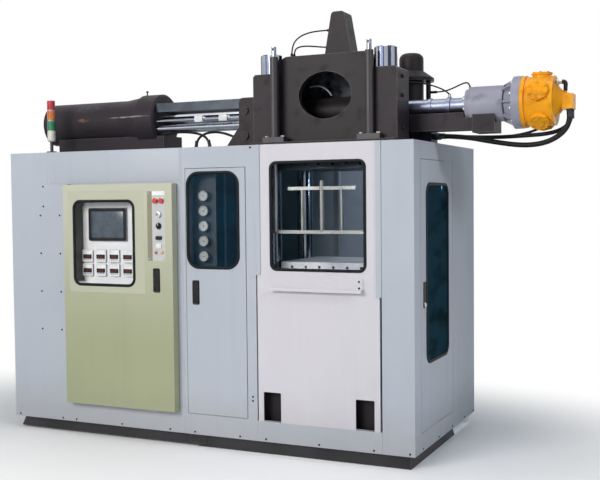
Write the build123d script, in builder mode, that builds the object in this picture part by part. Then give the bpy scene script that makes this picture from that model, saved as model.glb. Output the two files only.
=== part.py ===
from build123d import *
import os
from math import cos, pi, radians, sin, tan

# Rubber injection moulding machine, in millimetres.
# The origin is on the floor below the press axis, X runs along the machine, Y to its back, Z up.

# Cabinet
left_bay_width = 1363
cabinet_depth = 1300
cabinet_height = 1800
base_height = 80
press_from_right = 590
press_from_front = 400
sheet = 3
panel_fold = 34
panel_seam = 0.8
seat_gap = 0.3

# Base
base_setback = 28
base_joint_from_bay = 80
base_left_inset = 64
base_left_foot_inset = 29
base_right_inset = 33
base_right_depth = 832
base_right_foot_depth = 895
base_back_inset = 52
base_pad_height = 10
base_pad_radius = 60
base_pad_inset = 200
joint_plate_width = 110
joint_plate_height = 52
joint_plate_thickness = 8

# Control door and the electrical box behind it
control_door_from_bay = 878
control_door_width = 840
control_door_bottom = 140
control_door_head = 222
control_door_depth = 56
control_door_gap = 4
box_inset = 18
box_depth = 380
device_plate_inset = 60
device_plate_setback = 40
device_depth = 90
device_height = 120
device_rows = 4
device_row_share = 0.8

# Console set into the control door
console_left = 43
console_head = 43
console_width = 590
console_height = 655
console_window_width = 463
console_window_height = 538
console_window_left = 45
console_window_bottom = 51
console_window_corner = 45
console_depth = 95
display_width = 296
display_height = 214
display_depth = 14
display_from_left = 58
display_from_bottom = 280
bezel_width = 18
controller_side = 72
controller_depth = 10
controller_pitch_x = 106
controller_pitch_z = 92
controllers_from_bottom = 134.5
controllers_shift = 31
controller_columns = 4
controller_rows = 2

# Switch strip set into the control door
strip_left = 657
strip_head = 48
strip_width = 130
strip_height = 438
switch_from_left = 87
button_spacing = 44
button_from_bottom = 377
button_radius = 17
button_length = 12
button_travel = 6
key_switch_from_bottom = 293
key_switch_radius = 18
key_switch_length = 12
selector_from_bottom = 220
selector_radius = 20
selector_length = 14
selector_grip_width = 12
rocker_from_bottom = 145
rocker_width = 40
rocker_height = 22
rocker_length = 12
rocker_shaft_radius = 5
white_switch_from_bottom = 95
white_switch_width = 36
white_switch_height = 30
white_switch_length = 8
lamp_from_bottom = 52
lamp_radius = 9
lamp_length = 8
stem_radius = 8
stem_length = 26
stem_clearance = 0.1

# Latches
latch_width = 44
latch_height = 145
dish_depth = 32
latch_thickness = 9
latch_proud = 3
latch_play = 1.8
latch_pin_radius = 3.5
latch_pin_inset = 32
latch_corner = 9
control_latch_left = 698
control_latch_drop = 682
gauge_latch_left = 45
gauge_latch_drop = 844
side_latch_left = 46
side_latch_drop = 858

# Gauge bay and its door
gauge_bay_width = 515
gauge_hole_left = 22
gauge_hole_width = 429
gauge_hole_bottom = 130
gauge_hole_head = 130
gauge_window_width = 354
gauge_window_height = 584
gauge_window_left = 16
gauge_window_head = 29
gauge_window_corner = 75
pane_thickness = 5
pane_overlap = 9
door_gap = 3
hinge_gap = 5
hinge_inset = 10
hinge_pin_radius = 5
hinge_pin_length = 18
hinge_pin_clearance = 0.1

# Gauge board
gauge_board_width = 170
gauge_board_height = 600
gauge_board_head = 160
gauge_board_setback = 92
gauge_radius = 32
gauge_depth = 34
gauge_count = 5
gauge_pitch = 95
gauge_from_left = 97
gauge_from_bottom = 78

# Lifting front door, its guides and the panels around it
front_door_from_bay = 9
front_door_width = 785
front_door_bottom = 125
front_door_fold = 20
front_window_left = 98
front_window_width = 598
front_window_head = 112
front_window_height = 635
front_window_corner = 35
notch_width = 116
notch_height = 180
notch_left = 35
notch_right = 634
notch_corner = 6
lip_left = 97
lip_width = 588
lip_drop = 858
lip_height = 66
lip_reach = 34
guide_lip = 32
guide_play = 2
left_guide_length = 785
right_guide_length = 897
post_from_door = 13
post_width = 195
post_side_width = 118
post_return = 26

# Side door
side_door_left = 122
side_door_width = 655
side_door_bottom = 112
side_door_head = 106
side_window_left = 109
side_window_width = 439
side_window_head = 143
side_window_height = 1046
side_window_corner = 60

# Power pack
tank_from_left = 380
tank_length = 1050
tank_depth = 560
tank_height = 480
tank_from_back = 100
pump_motor_radius = 135
pump_motor_length = 430
pump_motor_foot = 60
pump_radius = 75
pump_length = 190

# Press
tie_bar_spacing_x = 740
tie_bar_spacing_y = 470
tie_bar_radius = 50
tie_bar_foot = 220
nut_radius = 68
nut_height = 120
nut_chamfer = 5
bed_half_width = 463
bed_half_depth = 330
bed_top = 700
bed_chamfer = 12
ram_radius = 160
ram_bore_bottom = 180
ram_clearance = 0.3
platen_half_width = 450
platen_half_depth = 310
platen_bottom = 990
platen_thickness = 120
platen_bore_clearance = 0.5
heater_half_width = 300
heater_half_depth = 280
heater_thickness = 60
heater_bore_radius = 9
heater_bore_depth = 60
heater_bore_count = 6
heater_bore_spacing = 90
crosshead_drop = 90
crosshead_half_width = 463
slab_rise = 15
slab_half_depth = 364
block_rise = 430
block_front = -310
block_back = -100
block_inner = 302
block_chamfer = 14
hood_rise = 531
hood_front = -280
hood_back = 106
hood_wall = 40
hood_side_wall = 12
hood_back_wall = 12
hood_corner = 60
eye_hole_half_width = 171
eye_hole_half_height = 140
eye_hole_rise = 76
column_radius = 76
column_flange_radius = 141
column_flange_rise = 395
column_flange_thickness = 20
column_cone_height = 42
column_cone_radius = 82
column_rise = 572
column_dome = 40
column_cover = 24
stud_radius = 15
stud_from_axis = 110

# Lift cylinders and lift frame in front of the press
lift_spacing = 610
lift_from_axis = 337
lift_tube_radius = 25
lift_bore_radius = 18.3
lift_rod_radius = 14
lift_rod_clearance = 0.6
lift_flange_width = 140
lift_flange_depth = 54
lift_flange_height = 30
lift_tube_rise = 525
lift_eye_height = 60
lift_eye_radius = 15
lift_eye_bore = 8
lift_collar_height = 30
lift_collar_radius = 18
lift_rod_rise = 320
lift_low_bar_drop = 525
lift_high_bar_drop = 265
lift_bar_side = 20
lift_high_bar_width = 434
lift_guide_spacing = 254
lift_guide_radius = 10
lift_centre_drop = 220

# Tower cover on the crosshead
tower_base_width = 186
tower_top_width = 84
tower_height = 287
tower_depth = 120
tower_front = -70
tower_corner = 24

# Injection unit
injection_rise = 212
cylinder_end_from_left = 77
cylinder_radius = 145
cylinder_bore = 110
cylinder_head = 60
collar_from_left = 840
collar_width = 160
collar_radius = 175
collar_edge = 12
collar_taper = 130
foot_half_depth = 115
foot_reach = 50
bed_from_end = 110
piston_length = 80
piston_clearance = 0.3
piston_rod_radius = 35
rod_clearance = 0.5
beam_from_axis = 100
beam_width = 44
beam_height = 58
beam_rise = 74
guide_rod_spacing = 220
guide_rod_radius = 19
guide_rod_drop = 60
sensor_rod_radius = 7
sensor_rod_from_axis = 132
sensor_rod_drop = 14
sensor_length = 56
sensor_height = 36
sensor_depth = 30
sensor_shares = (0.52, 0.80)
cheek_spacing = 300
cheek_thickness = 40
cheek_length = 177
cheek_rise = 102
cheek_seat = 5
cheek_foot_reach = 95
cheek_foot_drop = 79
cheek_corner = 30
bracket_web = 40
bracket_plate = 22
bracket_web_drop = 102
pin_radius = 25
pin_head = 14
pin_from_web = 45
upper_pin_rise = 20
lower_pin_drop = 138
chamber_radius = 90
chamber_half_reach = 230
nozzle_radius = 28
nozzle_clearance = 0.5

# Extruder
barrel_radius = 45
barrel_bore = 30
barrel_collar_start = 560
barrel_collar_width = 18
barrel_collar_radius = 51
barrel_flange_start = 672
barrel_flange_end = 792
barrel_flange_radius = 53
barrel_flange_rim = 22
housing_neck_radius = 90
housing_neck_end = 820
housing_radius = 104
housing_end = 1016
housing_cone_end = 1072
cone_end_radius = 112
ring_radius = 150
ring_end = 1120
shaft_clearance = 0.1
rib_count = 8
rib_thickness = 12
screw_core_radius = 22
screw_tip_length = 40
screw_start = 250
motor_drum_radius = 140
motor_end = 1300
motor_plate_radius = 148
motor_plate_width = 22
lobe_count = 5
lobe_radius = 52
lobe_reach = 147
lobe_cap_radius = 60
lobe_cap_height = 13
nose_root_radius = 100
nose_tip_radius = 42
nose_end = 1371
nose_rim = 21
port_block_start = 1340
port_block_length = 60
port_block_half_width = 52
port_block_drop = 52
port_block_height = 85
port_reach = 40
port_spread = 60
drain_turn = 108
drain_reach = 150
pipe_rise = 104
pipe_end = 1352
pipe_radius = 9
pipe_bend = 24
lobe_cap_sides = 8
support_half_width = 70
support_depth = 147
support_drop = 46
support_clear_start = 784
saddle_start = 840
saddle_end = 970
saddle_half_width = 86
saddle_depth = 167
saddle_drop = 62
manifold_width = 80
manifold_near = 84
manifold_far = 216
manifold_drop = 50
manifold_rise = 85
manifold_port_rise = 45
manifold_port_radius = 19
manifold_port_length = 30
manifold_port_pitch = 42

# Hoses and cables, as the points of their routes between their fittings
cable_gland_radius = 8
cable_gland_length = 24
cable_gland_rise = 16
stud_gland_rise = 325
column_gland_drop = 25
hood_gland_places = [(-236, -232), (-236, -196)]
tower_gland_places = [(-52, 179), (-34, 79)]
collar_port_across = -70
collar_port_drop = 92
bracket_port_across = -30
bracket_port_drop = 147
small_port_radius = 13
small_port_length = 28
small_port_height = 15
cylinder_gland_reach = 385
bracket_gland_reach = 250
cylinder_gland_across = -80
arc_share = 0.45
large_hose_radius = 15
middle_hose_radius = 12
small_hose_radius = 8
cable_radius = 4.5
motor_hose_a_points = [
    (735, 100, -175), (930, 70, -217), (1115, 22, -247), (1245, -10, -237), (1336, -25, -192), (1384, -30, -124)]
motor_hose_b_points = [
    (735, 142, -176), (930, 112, -188), (1115, 72, -186), (1250, 48, -182), (1338, 36, -158), (1382, 30, -108)]
motor_hose_c_points = [
    (690, 200, -170), (830, 222, -178), (965, 250, -177), (1080, 272, -160), (1165, 275, -130),
    (1212, 240, -92), (1221, 190, -62)]
barrel_cable_a_points = [
    (374, 98, 160), (400, 68, 163), (448, 54, 158), (505, 46, 148), (562, 38, 133), (615, 24, 112), (655, 10, 92)]
barrel_cable_b_points = [
    (580, 226, 113), (630, 192, 119), (680, 146, 128), (725, 100, 136), (765, 56, 139), (793, 20, 130)]
tower_cable_a_points = [
    (-234, -226, 69), (-222, -203, 109), (-198, -165, 141), (-165, -118, 163), (-125, -78, 175)]
tower_cable_b_points = [
    (-234, -190, 54), (-216, -168, 72), (-186, -131, 80), (-152, -88, 81), (-124, -58, 80)]
cylinder_hose_points = [
    (120, -70, -89), (205, -74, -91), (285, -77, -101), (345, -79, -122), (376, -80, -157)]
bracket_hose_points = [
    (254, -30, -157), (282, -30, -120), (334, -30, -98), (404, -30, -94), (474, -30, -107), (535, -30, -131),
    (620, -30, -145), (700, -30, -147)]

# Signal tower
signal_from_left = 272
signal_from_front = 100
signal_radius = 26
signal_lens_height = 62
signal_ring_height = 7
signal_ring_radius = 24
signal_pole_radius = 11
signal_pole_height = 79
signal_foot_radius = 34
signal_foot_height = 12
signal_lens_count = 4

# Places worked out from the sizes above
gauge_bay_left = left_bay_width
bay_right = gauge_bay_left + gauge_bay_width
front_door_left = bay_right + front_door_from_bay
post_left = front_door_left + front_door_width + post_from_door
cabinet_length = post_left + post_width
right_end = press_from_right
left_end = right_end - cabinet_length
front_face = -press_from_front
back_face = front_face + cabinet_depth
sill = base_height
cabinet_top = base_height + cabinet_height
control_door_left = left_bay_width - control_door_from_bay
control_door_height = cabinet_height - control_door_bottom - control_door_head
console_bottom = control_door_height - console_height - console_head
strip_bottom = control_door_height - strip_height - strip_head
control_latch_bottom = control_door_height - control_latch_drop
gauge_hole_height = cabinet_height - gauge_hole_bottom - gauge_hole_head
gauge_door_height = gauge_hole_height - 2 * door_gap
gauge_window_bottom = gauge_door_height - gauge_window_height - gauge_window_head
gauge_latch_bottom = gauge_door_height - gauge_latch_drop
gauge_board_bottom = cabinet_height - gauge_board_height - gauge_board_head
front_door_height = cabinet_height - front_door_bottom
front_window_bottom = front_door_height - front_window_height - front_window_head
lip_bottom = front_door_height - lip_drop
left_guide_bottom = cabinet_height - left_guide_length
right_guide_bottom = cabinet_height - right_guide_length
side_door_top = cabinet_height - side_door_head
side_door_height = side_door_top - side_door_bottom
side_window_bottom = side_door_height - side_window_height - side_window_head
side_latch_bottom = side_door_height - side_latch_drop
tank_from_front = cabinet_depth - tank_depth - tank_from_back
base_left_depth = cabinet_depth - base_setback - base_back_inset
base_joint_from_left = left_bay_width + base_joint_from_bay
crosshead_bottom = cabinet_top - crosshead_drop
slab_top = cabinet_top + slab_rise
block_top = cabinet_top + block_rise
hood_top = cabinet_top + hood_rise
column_flange_bottom = cabinet_top + column_flange_rise
column_top = cabinet_top + column_rise
lift_tube_top = cabinet_top + lift_tube_rise
lift_rod_top = cabinet_top + lift_rod_rise
lift_low_bar = cabinet_top - lift_low_bar_drop
lift_high_bar = cabinet_top - lift_high_bar_drop
lift_centre_top = cabinet_top - lift_centre_drop
injection_height = cabinet_top + injection_rise
eye_hole_height = injection_height + eye_hole_rise
cheek_top = injection_height + cheek_rise
cheek_bottom = cabinet_top + cheek_seat
cheek_foot_top = injection_height - cheek_foot_drop
bracket_web_bottom = injection_height - bracket_web_drop
upper_pin_height = injection_height + upper_pin_rise
lower_pin_height = injection_height - lower_pin_drop
port_block_bottom = injection_height - port_block_drop
pipe_height = injection_height + pipe_rise
support_bottom = injection_height - support_depth
support_top = injection_height - support_drop
saddle_bottom = injection_height - saddle_depth
saddle_top = injection_height - saddle_drop
manifold_bottom = cabinet_top - manifold_drop
manifold_top = cabinet_top + manifold_rise
manifold_port_height = cabinet_top + manifold_port_rise
stud_gland_height = cabinet_top + stud_gland_rise


def save(name, builder):
    """Label a finished piece and write it."""
    builder.part.label = name
    export_step(builder.part, f"parts/{name}.step")


def front_plane(from_left, from_sill, behind=0):
    """A plane on the cabinet's front: x to the right, y up, z out."""
    return Plane((left_end + from_left, front_face + behind, sill + from_sill), (1, 0, 0), (0, -1, 0))


def side_plane(from_front, from_sill):
    """A plane on the cabinet's right side: x to the back, y up, z out."""
    return Plane((right_end, front_face + from_front, sill + from_sill), (0, 1, 0), (1, 0, 0))


def end_plane(from_back, from_sill):
    """A plane on the cabinet's left end: x to the front, y up, z out."""
    return Plane((left_end, back_face - from_back, sill + from_sill), (0, -1, 0), (-1, 0, 0))


def rear_plane(from_right, from_sill):
    """A plane on the cabinet's back: x to the left, y up, z out."""
    return Plane((right_end - from_right, back_face, sill + from_sill), (-1, 0, 0), (0, 1, 0))


def moved(plane, right, up):
    """The same plane, moved within itself."""
    return Plane(plane.from_local_coords((right, up, 0)), plane.x_dir, plane.z_dir)


def fold_sheet(builder, plane, width, height, fold):
    """Make a flat sheet with its four edges folded back, as a block's first solid."""
    Box(width, height, fold, align=(Align.MIN, Align.MIN, Align.MAX))
    inner = builder.faces().sort_by(Axis((0, 0, 0), plane.z_dir))[0]
    offset(amount=-sheet, openings=inner)


def press_dish(centre):
    """Press a latch dish into the sheet of the block being made."""
    with Locations(centre):
        Box(latch_width + 2 * sheet, latch_height + 2 * sheet, dish_depth + sheet,
            align=(Align.CENTER, Align.CENTER, Align.MAX))
        Box(latch_width, latch_height, 2 * dish_depth, mode=Mode.SUBTRACT)


def bore_pivot(across, behind, height):
    """Bore the folds of the door being made for its pivot pins."""
    with Locations((across, height / 2, -behind)):
        Cylinder(hinge_pin_radius + hinge_pin_clearance, height, rotation=(90, 0, 0), mode=Mode.SUBTRACT)


def folded_panel(plane, width, height):
    """A plain folded panel."""
    with BuildPart(plane) as panel:
        fold_sheet(panel, plane, width, height, panel_fold)
    return panel.part


def framed_panel(plane, width, height, hole_left, hole_bottom, hole_width, hole_height):
    """A folded panel with a rectangular opening whose edges are folded back too."""
    with BuildPart(plane) as panel:
        fold_sheet(panel, plane, width, height, panel_fold)
        with Locations((hole_left - sheet, hole_bottom - sheet)):
            Box(hole_width + 2 * sheet, hole_height + 2 * sheet, panel_fold,
                align=(Align.MIN, Align.MIN, Align.MAX))
        with Locations((hole_left, hole_bottom)):
            Box(hole_width, hole_height, 2 * panel_fold, align=(Align.MIN, Align.MIN, Align.CENTER),
                mode=Mode.SUBTRACT)
    return panel.part


def sheet_door(plane, width, height, fold, window, latch=None, pivot=None):
    """A folded door with a round-cornered window, and a latch dish and pivot holes if it has them."""
    window_left, window_bottom, window_width, window_height, window_corner = window
    with BuildPart(plane) as door:
        fold_sheet(door, plane, width, height, fold)
        if latch:
            press_dish(latch)
        with BuildSketch(plane):
            with Locations((window_left + window_width / 2, window_bottom + window_height / 2)):
                RectangleRounded(window_width, window_height, window_corner)
        extrude(amount=-2 * sheet, mode=Mode.SUBTRACT)
        if pivot:
            bore_pivot(*pivot, height)
    return door


def window_pane(plane, window):
    """The glass behind a door's sheet."""
    window_left, window_bottom, window_width, window_height, window_corner = window
    with BuildPart() as pane:
        with BuildSketch(plane.offset(-sheet)):
            with Locations((window_left + window_width / 2, window_bottom + window_height / 2)):
                RectangleRounded(window_width + 2 * pane_overlap, window_height + 2 * pane_overlap,
                                 window_corner + pane_overlap)
        extrude(amount=-pane_thickness)
    return pane


def latch_paddle(plane, centre):
    """A flush paddle handle that swings out of its dish about a pin near its upper end."""
    paddle_width = latch_width - 2 * latch_play
    paddle_height = latch_height - 2 * latch_play
    paddle_plane = plane.offset(latch_proud)
    with BuildPart() as paddle:
        with BuildSketch(paddle_plane):
            with Locations(centre):
                RectangleRounded(paddle_width, paddle_height, latch_corner)
        extrude(amount=-latch_thickness)
        with BuildSketch(paddle_plane):
            with Locations((centre[0], centre[1] - paddle_height / 2 + 2 * latch_corner)):
                RectangleRounded(paddle_width - latch_corner, 2 * latch_corner, latch_pin_radius)
        extrude(amount=-latch_proud, mode=Mode.SUBTRACT)
        pin_plane = Plane(
            paddle_plane.from_local_coords(
                (centre[0] - latch_width / 2 + seat_gap,
                 centre[1] + paddle_height / 2 - latch_pin_inset,
                 -latch_thickness)),
            z_dir=plane.x_dir)
        with BuildSketch(pin_plane):
            Circle(latch_pin_radius)
        extrude(amount=latch_width - 2 * seat_gap)
    return paddle


def turned(points, height):
    """A solid turned about a lengthwise line at the given height, from (x, radius) points."""
    axis_start = (0, 0, height)
    with BuildPart() as body:
        with BuildSketch(Plane.XZ) as profile:
            with BuildLine():
                Polyline([(x, height + radius) for x, radius in points], close=True)
            make_face()
        revolve(axis=Axis(axis_start, (1, 0, 0)))
    return body.part


# Base: two welded lengths, the left one on levelling pads
base_front = front_face + base_setback
base_joint = left_end + base_joint_from_left
with BuildPart() as base_frame:
    with BuildSketch(Plane.XZ.offset(-base_front)):
        with BuildLine():
            Polyline(
                (left_end + base_left_foot_inset, base_pad_height),
                (base_joint - seat_gap, base_pad_height),
                (base_joint - seat_gap, base_height),
                (left_end + base_left_inset, base_height),
                close=True)
        make_face()
    extrude(amount=-base_left_depth)
    with BuildSketch(Plane.YZ.offset(base_joint)):
        with BuildLine():
            Polyline(
                (base_front, 0),
                (base_front + base_right_foot_depth, 0),
                (base_front + base_right_depth, base_height),
                (base_front, base_height),
                close=True)
        make_face()
    extrude(amount=right_end - base_right_inset - base_joint)
    with Locations(((left_end + base_joint) / 2, base_front + base_left_depth / 2)):
        with GridLocations(base_joint_from_left - 2 * base_pad_inset,
                           base_left_depth - base_pad_inset, 2, 2):
            Cylinder(base_pad_radius, base_pad_height, align=(Align.CENTER, Align.CENTER, Align.MIN))
    with Locations((base_joint, base_front - seat_gap, (base_height + base_pad_height) / 2)):
        Box(joint_plate_width, joint_plate_thickness, joint_plate_height,
            align=(Align.CENTER, Align.MAX, Align.CENTER))
save("base_frame", base_frame)

# Left front panel, with the opening for the electrical box and the pivot tabs of the control door
front_panel_width = gauge_bay_left - panel_seam
control_back = front_face - control_door_gap
control_front = control_back - control_door_depth
control_pivot_inset = hinge_pin_radius + sheet + seat_gap
control_pivot_depth = 2 * (hinge_pin_radius + sheet)
control_pivot_x = left_end + control_door_left + control_pivot_inset
control_pivot_y = control_back - control_pivot_depth
tab_side = 2 * (hinge_pin_radius + sheet)
control_door_top = sill + control_door_bottom + control_door_height
left_sheet = framed_panel(
    front_plane(0, 0), front_panel_width, cabinet_height,
    control_door_left + box_inset, control_door_bottom + box_inset,
    control_door_width - 2 * box_inset, control_door_height - 2 * box_inset)
with BuildPart() as front_panel_left:
    add(left_sheet)
    tab_reach = front_face - control_pivot_y + tab_side / 2
    for tab_bottom in (control_door_top + door_gap, sill + control_door_bottom - door_gap - sheet):
        with Locations((control_pivot_x, front_face, tab_bottom)):
            Box(tab_side, tab_reach, sheet, align=(Align.CENTER, Align.MAX, Align.MIN))
    with Locations((control_pivot_x, control_pivot_y, control_door_top + door_gap)):
        Cylinder(hinge_pin_radius, hinge_pin_length, align=(Align.CENTER, Align.CENTER, Align.MAX))
    with Locations((control_pivot_x, control_pivot_y, sill + control_door_bottom - door_gap)):
        Cylinder(hinge_pin_radius, hinge_pin_length, align=(Align.CENTER, Align.CENTER, Align.MIN))
save("front_panel_left", front_panel_left)

# Electrical box with its device plate
box_plane = front_plane(control_door_left + box_inset + seat_gap, control_door_bottom + box_inset + seat_gap)
box_width = control_door_width - 2 * (box_inset + seat_gap)
box_height = control_door_height - 2 * (box_inset + seat_gap)
plate_width = box_width - 2 * device_plate_inset
plate_height = box_height - 2 * device_plate_inset
with BuildPart(box_plane) as electrical_box:
    Box(box_width, box_height, box_depth, align=(Align.MIN, Align.MIN, Align.MAX))
    offset(amount=-sheet, openings=electrical_box.faces().sort_by(Axis.Y)[0])
    with Locations((box_width / 2, box_height / 2, -box_depth + sheet)):
        with GridLocations(plate_width - device_plate_inset, plate_height - device_plate_inset, 2, 2):
            Cylinder(stem_radius, device_plate_setback - sheet, align=(Align.CENTER, Align.CENTER, Align.MIN))
    with Locations((box_width / 2, box_height / 2, -box_depth + device_plate_setback)):
        Box(plate_width, plate_height, sheet, align=(Align.CENTER, Align.CENTER, Align.MIN))
        with GridLocations(0, plate_height / device_rows, 1, device_rows):
            Box(plate_width * device_row_share, device_height, device_depth,
                align=(Align.CENTER, Align.CENTER, Align.MIN))
save("electrical_box", electrical_box)

# Control door
control_plane = front_plane(control_door_left, control_door_bottom, -control_door_gap - control_door_depth)
control_latch_at = (control_latch_left + latch_width / 2, control_latch_bottom + latch_height / 2)
with BuildPart(control_plane) as control_door:
    fold_sheet(control_door, control_plane, control_door_width, control_door_height, control_door_depth)
    with Locations((console_left, console_bottom)):
        Box(console_width, console_height, 2 * sheet, align=(Align.MIN, Align.MIN, Align.CENTER),
            mode=Mode.SUBTRACT)
    with Locations((strip_left, strip_bottom)):
        Box(strip_width, strip_height, 2 * sheet, align=(Align.MIN, Align.MIN, Align.CENTER),
            mode=Mode.SUBTRACT)
    press_dish(control_latch_at)
    bore_pivot(control_pivot_inset, control_door_depth - control_pivot_depth, control_door_height)
save("control_door", control_door)

# Console: a flush plate with a deep round-cornered tray
console_plane = moved(control_plane, console_left, console_bottom)
tray_centre = (console_window_left + console_window_width / 2,
               console_window_bottom + console_window_height / 2)
with BuildPart(console_plane) as console_tray:
    with Locations((seat_gap, seat_gap)):
        Box(console_width - 2 * seat_gap, console_height - 2 * seat_gap, sheet,
            align=(Align.MIN, Align.MIN, Align.MAX))
    with BuildSketch(console_plane):
        with Locations(tray_centre):
            RectangleRounded(console_window_width + 2 * sheet, console_window_height + 2 * sheet,
                             console_window_corner + sheet)
    extrude(amount=-console_depth)
    with BuildSketch(console_plane):
        with Locations(tray_centre):
            RectangleRounded(console_window_width, console_window_height, console_window_corner)
    extrude(amount=-console_depth + sheet, mode=Mode.SUBTRACT)
save("console_tray", console_tray)

# Instruments on the tray's floor: a display in its bezel and the temperature controllers
floor_plane = console_plane.offset(-console_depth + sheet + seat_gap)
controllers_centre = (tray_centre[0] - controllers_shift, console_window_bottom + controllers_from_bottom)
with BuildPart(floor_plane) as console_instruments:
    with Locations((console_window_left + display_from_left, console_window_bottom + display_from_bottom)):
        Box(display_width, display_height, display_depth, align=(Align.MIN, Align.MIN, Align.MIN))
    with Locations((console_window_left + display_from_left + bezel_width,
                    console_window_bottom + display_from_bottom + bezel_width,
                    display_depth - sheet)):
        Box(display_width - 2 * bezel_width, display_height - 2 * bezel_width, 2 * sheet,
            align=(Align.MIN, Align.MIN, Align.MIN), mode=Mode.SUBTRACT)
    with Locations(controllers_centre):
        with GridLocations(controller_pitch_x, controller_pitch_z, controller_columns, controller_rows):
            Box(controller_side, controller_side, controller_depth, align=(Align.CENTER, Align.CENTER, Align.MIN))
save("console_instruments", console_instruments)

# Switch strip with its fixed fittings
strip_plane = moved(control_plane, strip_left, strip_bottom)
button_places = [(switch_from_left - button_spacing / 2, button_from_bottom),
                 (switch_from_left + button_spacing / 2, button_from_bottom)]
with BuildPart(strip_plane) as switch_strip:
    with Locations((seat_gap, seat_gap)):
        Box(strip_width - 2 * seat_gap, strip_height - 2 * seat_gap, sheet,
            align=(Align.MIN, Align.MIN, Align.MAX))
    with Locations((switch_from_left, key_switch_from_bottom)):
        Cylinder(key_switch_radius, key_switch_length, align=(Align.CENTER, Align.CENTER, Align.MIN))
    with Locations((switch_from_left, white_switch_from_bottom)):
        Box(white_switch_width, white_switch_height, white_switch_length,
            align=(Align.CENTER, Align.CENTER, Align.MIN))
    with Locations((switch_from_left, lamp_from_bottom)):
        with GridLocations(button_spacing, 0, 2, 1):
            Cylinder(lamp_radius, lamp_length, align=(Align.CENTER, Align.CENTER, Align.MIN))
    with Locations(*button_places, (switch_from_left, selector_from_bottom)):
        Cylinder(stem_radius + stem_clearance, 2 * stem_length, mode=Mode.SUBTRACT)
    with Locations((switch_from_left, rocker_from_bottom)):
        Box(rocker_width + 2 * seat_gap, 2 * rocker_shaft_radius + 2 * seat_gap, 2 * stem_length,
            mode=Mode.SUBTRACT)
save("switch_strip", switch_strip)

# The two red buttons, the selector and the rocker
for name, place in zip(("red_button_left", "red_button_right"), button_places):
    with BuildPart(strip_plane) as button:
        with Locations((*place, button_travel)):
            Cylinder(button_radius, button_length, align=(Align.CENTER, Align.CENTER, Align.MIN))
        chamfer(button.edges().filter_by(GeomType.CIRCLE).sort_by(Axis.Y)[0], sheet)
        with Locations((*place, button_travel)):
            Cylinder(stem_radius, stem_length, align=(Align.CENTER, Align.CENTER, Align.MAX))
    save(name, button)
with BuildPart(strip_plane) as selector_knob:
    with Locations((switch_from_left, selector_from_bottom, seat_gap)):
        Cylinder(selector_radius, selector_length / 2, align=(Align.CENTER, Align.CENTER, Align.MIN))
        Box(selector_grip_width, 2 * selector_radius, selector_length,
            align=(Align.CENTER, Align.CENTER, Align.MIN))
        Cylinder(stem_radius, stem_length, align=(Align.CENTER, Align.CENTER, Align.MAX))
save("selector_knob", selector_knob)
with BuildPart(strip_plane) as rocker_switch:
    with BuildSketch(Plane(strip_plane.from_local_coords((switch_from_left - rocker_width / 2,
                                                          rocker_from_bottom, 0)), z_dir=(1, 0, 0))):
        Circle(rocker_shaft_radius)
    extrude(amount=rocker_width)
    with Locations((switch_from_left, rocker_from_bottom, rocker_shaft_radius / 2)):
        Box(rocker_width, rocker_height, rocker_length - rocker_shaft_radius / 2,
            align=(Align.CENTER, Align.CENTER, Align.MIN))
save("rocker_switch", rocker_switch)
save("control_latch", latch_paddle(control_plane, control_latch_at))

# Gauge bay panel with the pivot pins of its door
gauge_plane = front_plane(gauge_bay_left, 0)
gauge_door_plane = front_plane(gauge_bay_left + gauge_hole_left + door_gap, gauge_hole_bottom + door_gap)
gauge_door_width = gauge_hole_width - door_gap - hinge_gap
gauge_pivot = (left_end + gauge_bay_left + gauge_hole_left + gauge_hole_width - hinge_gap - hinge_inset,
               front_face + hinge_inset)
gauge_sheet = framed_panel(gauge_plane, gauge_bay_width, cabinet_height,
                           gauge_hole_left, gauge_hole_bottom, gauge_hole_width, gauge_hole_height)
with BuildPart() as gauge_bay_panel:
    add(gauge_sheet)
    with Locations((*gauge_pivot, sill + gauge_hole_bottom)):
        Cylinder(hinge_pin_radius, hinge_pin_length, align=(Align.CENTER, Align.CENTER, Align.MIN))
    with Locations((*gauge_pivot, sill + gauge_hole_bottom + gauge_hole_height)):
        Cylinder(hinge_pin_radius, hinge_pin_length, align=(Align.CENTER, Align.CENTER, Align.MAX))
save("gauge_bay_panel", gauge_bay_panel)

# Gauge door
gauge_window = (gauge_window_left, gauge_window_bottom, gauge_window_width, gauge_window_height,
                gauge_window_corner)
gauge_latch_at = (gauge_latch_left + latch_width / 2, gauge_latch_bottom + latch_height / 2)
save("gauge_door", sheet_door(gauge_door_plane, gauge_door_width, gauge_door_height, panel_fold / 2 + sheet,
                              gauge_window, gauge_latch_at, (gauge_door_width - hinge_inset, hinge_inset)))
save("gauge_door_pane", window_pane(gauge_door_plane, gauge_window))
save("gauge_latch", latch_paddle(gauge_door_plane, gauge_latch_at))

# Gauge board: an angle plate on the bay's left edge with a column of pressure gauges
board_left = gauge_bay_left + gauge_hole_left
with BuildPart() as gauge_board:
    board_plane = front_plane(board_left, gauge_board_bottom, gauge_board_setback)
    with BuildSketch(board_plane):
        Rectangle(gauge_board_width, gauge_board_height, align=(Align.MIN, Align.MIN))
    extrude(amount=-sheet)
    with BuildSketch(board_plane):
        Rectangle(sheet, gauge_board_height, align=(Align.MIN, Align.MIN))
    extrude(amount=gauge_board_setback - panel_fold)
    gauge_centre = gauge_from_bottom + (gauge_count - 1) * gauge_pitch / 2
    with BuildSketch(board_plane):
        with Locations((gauge_from_left, gauge_centre)):
            with GridLocations(0, gauge_pitch, 1, gauge_count):
                Circle(gauge_radius)
    extrude(amount=gauge_depth)
save("gauge_board", gauge_board)

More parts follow.
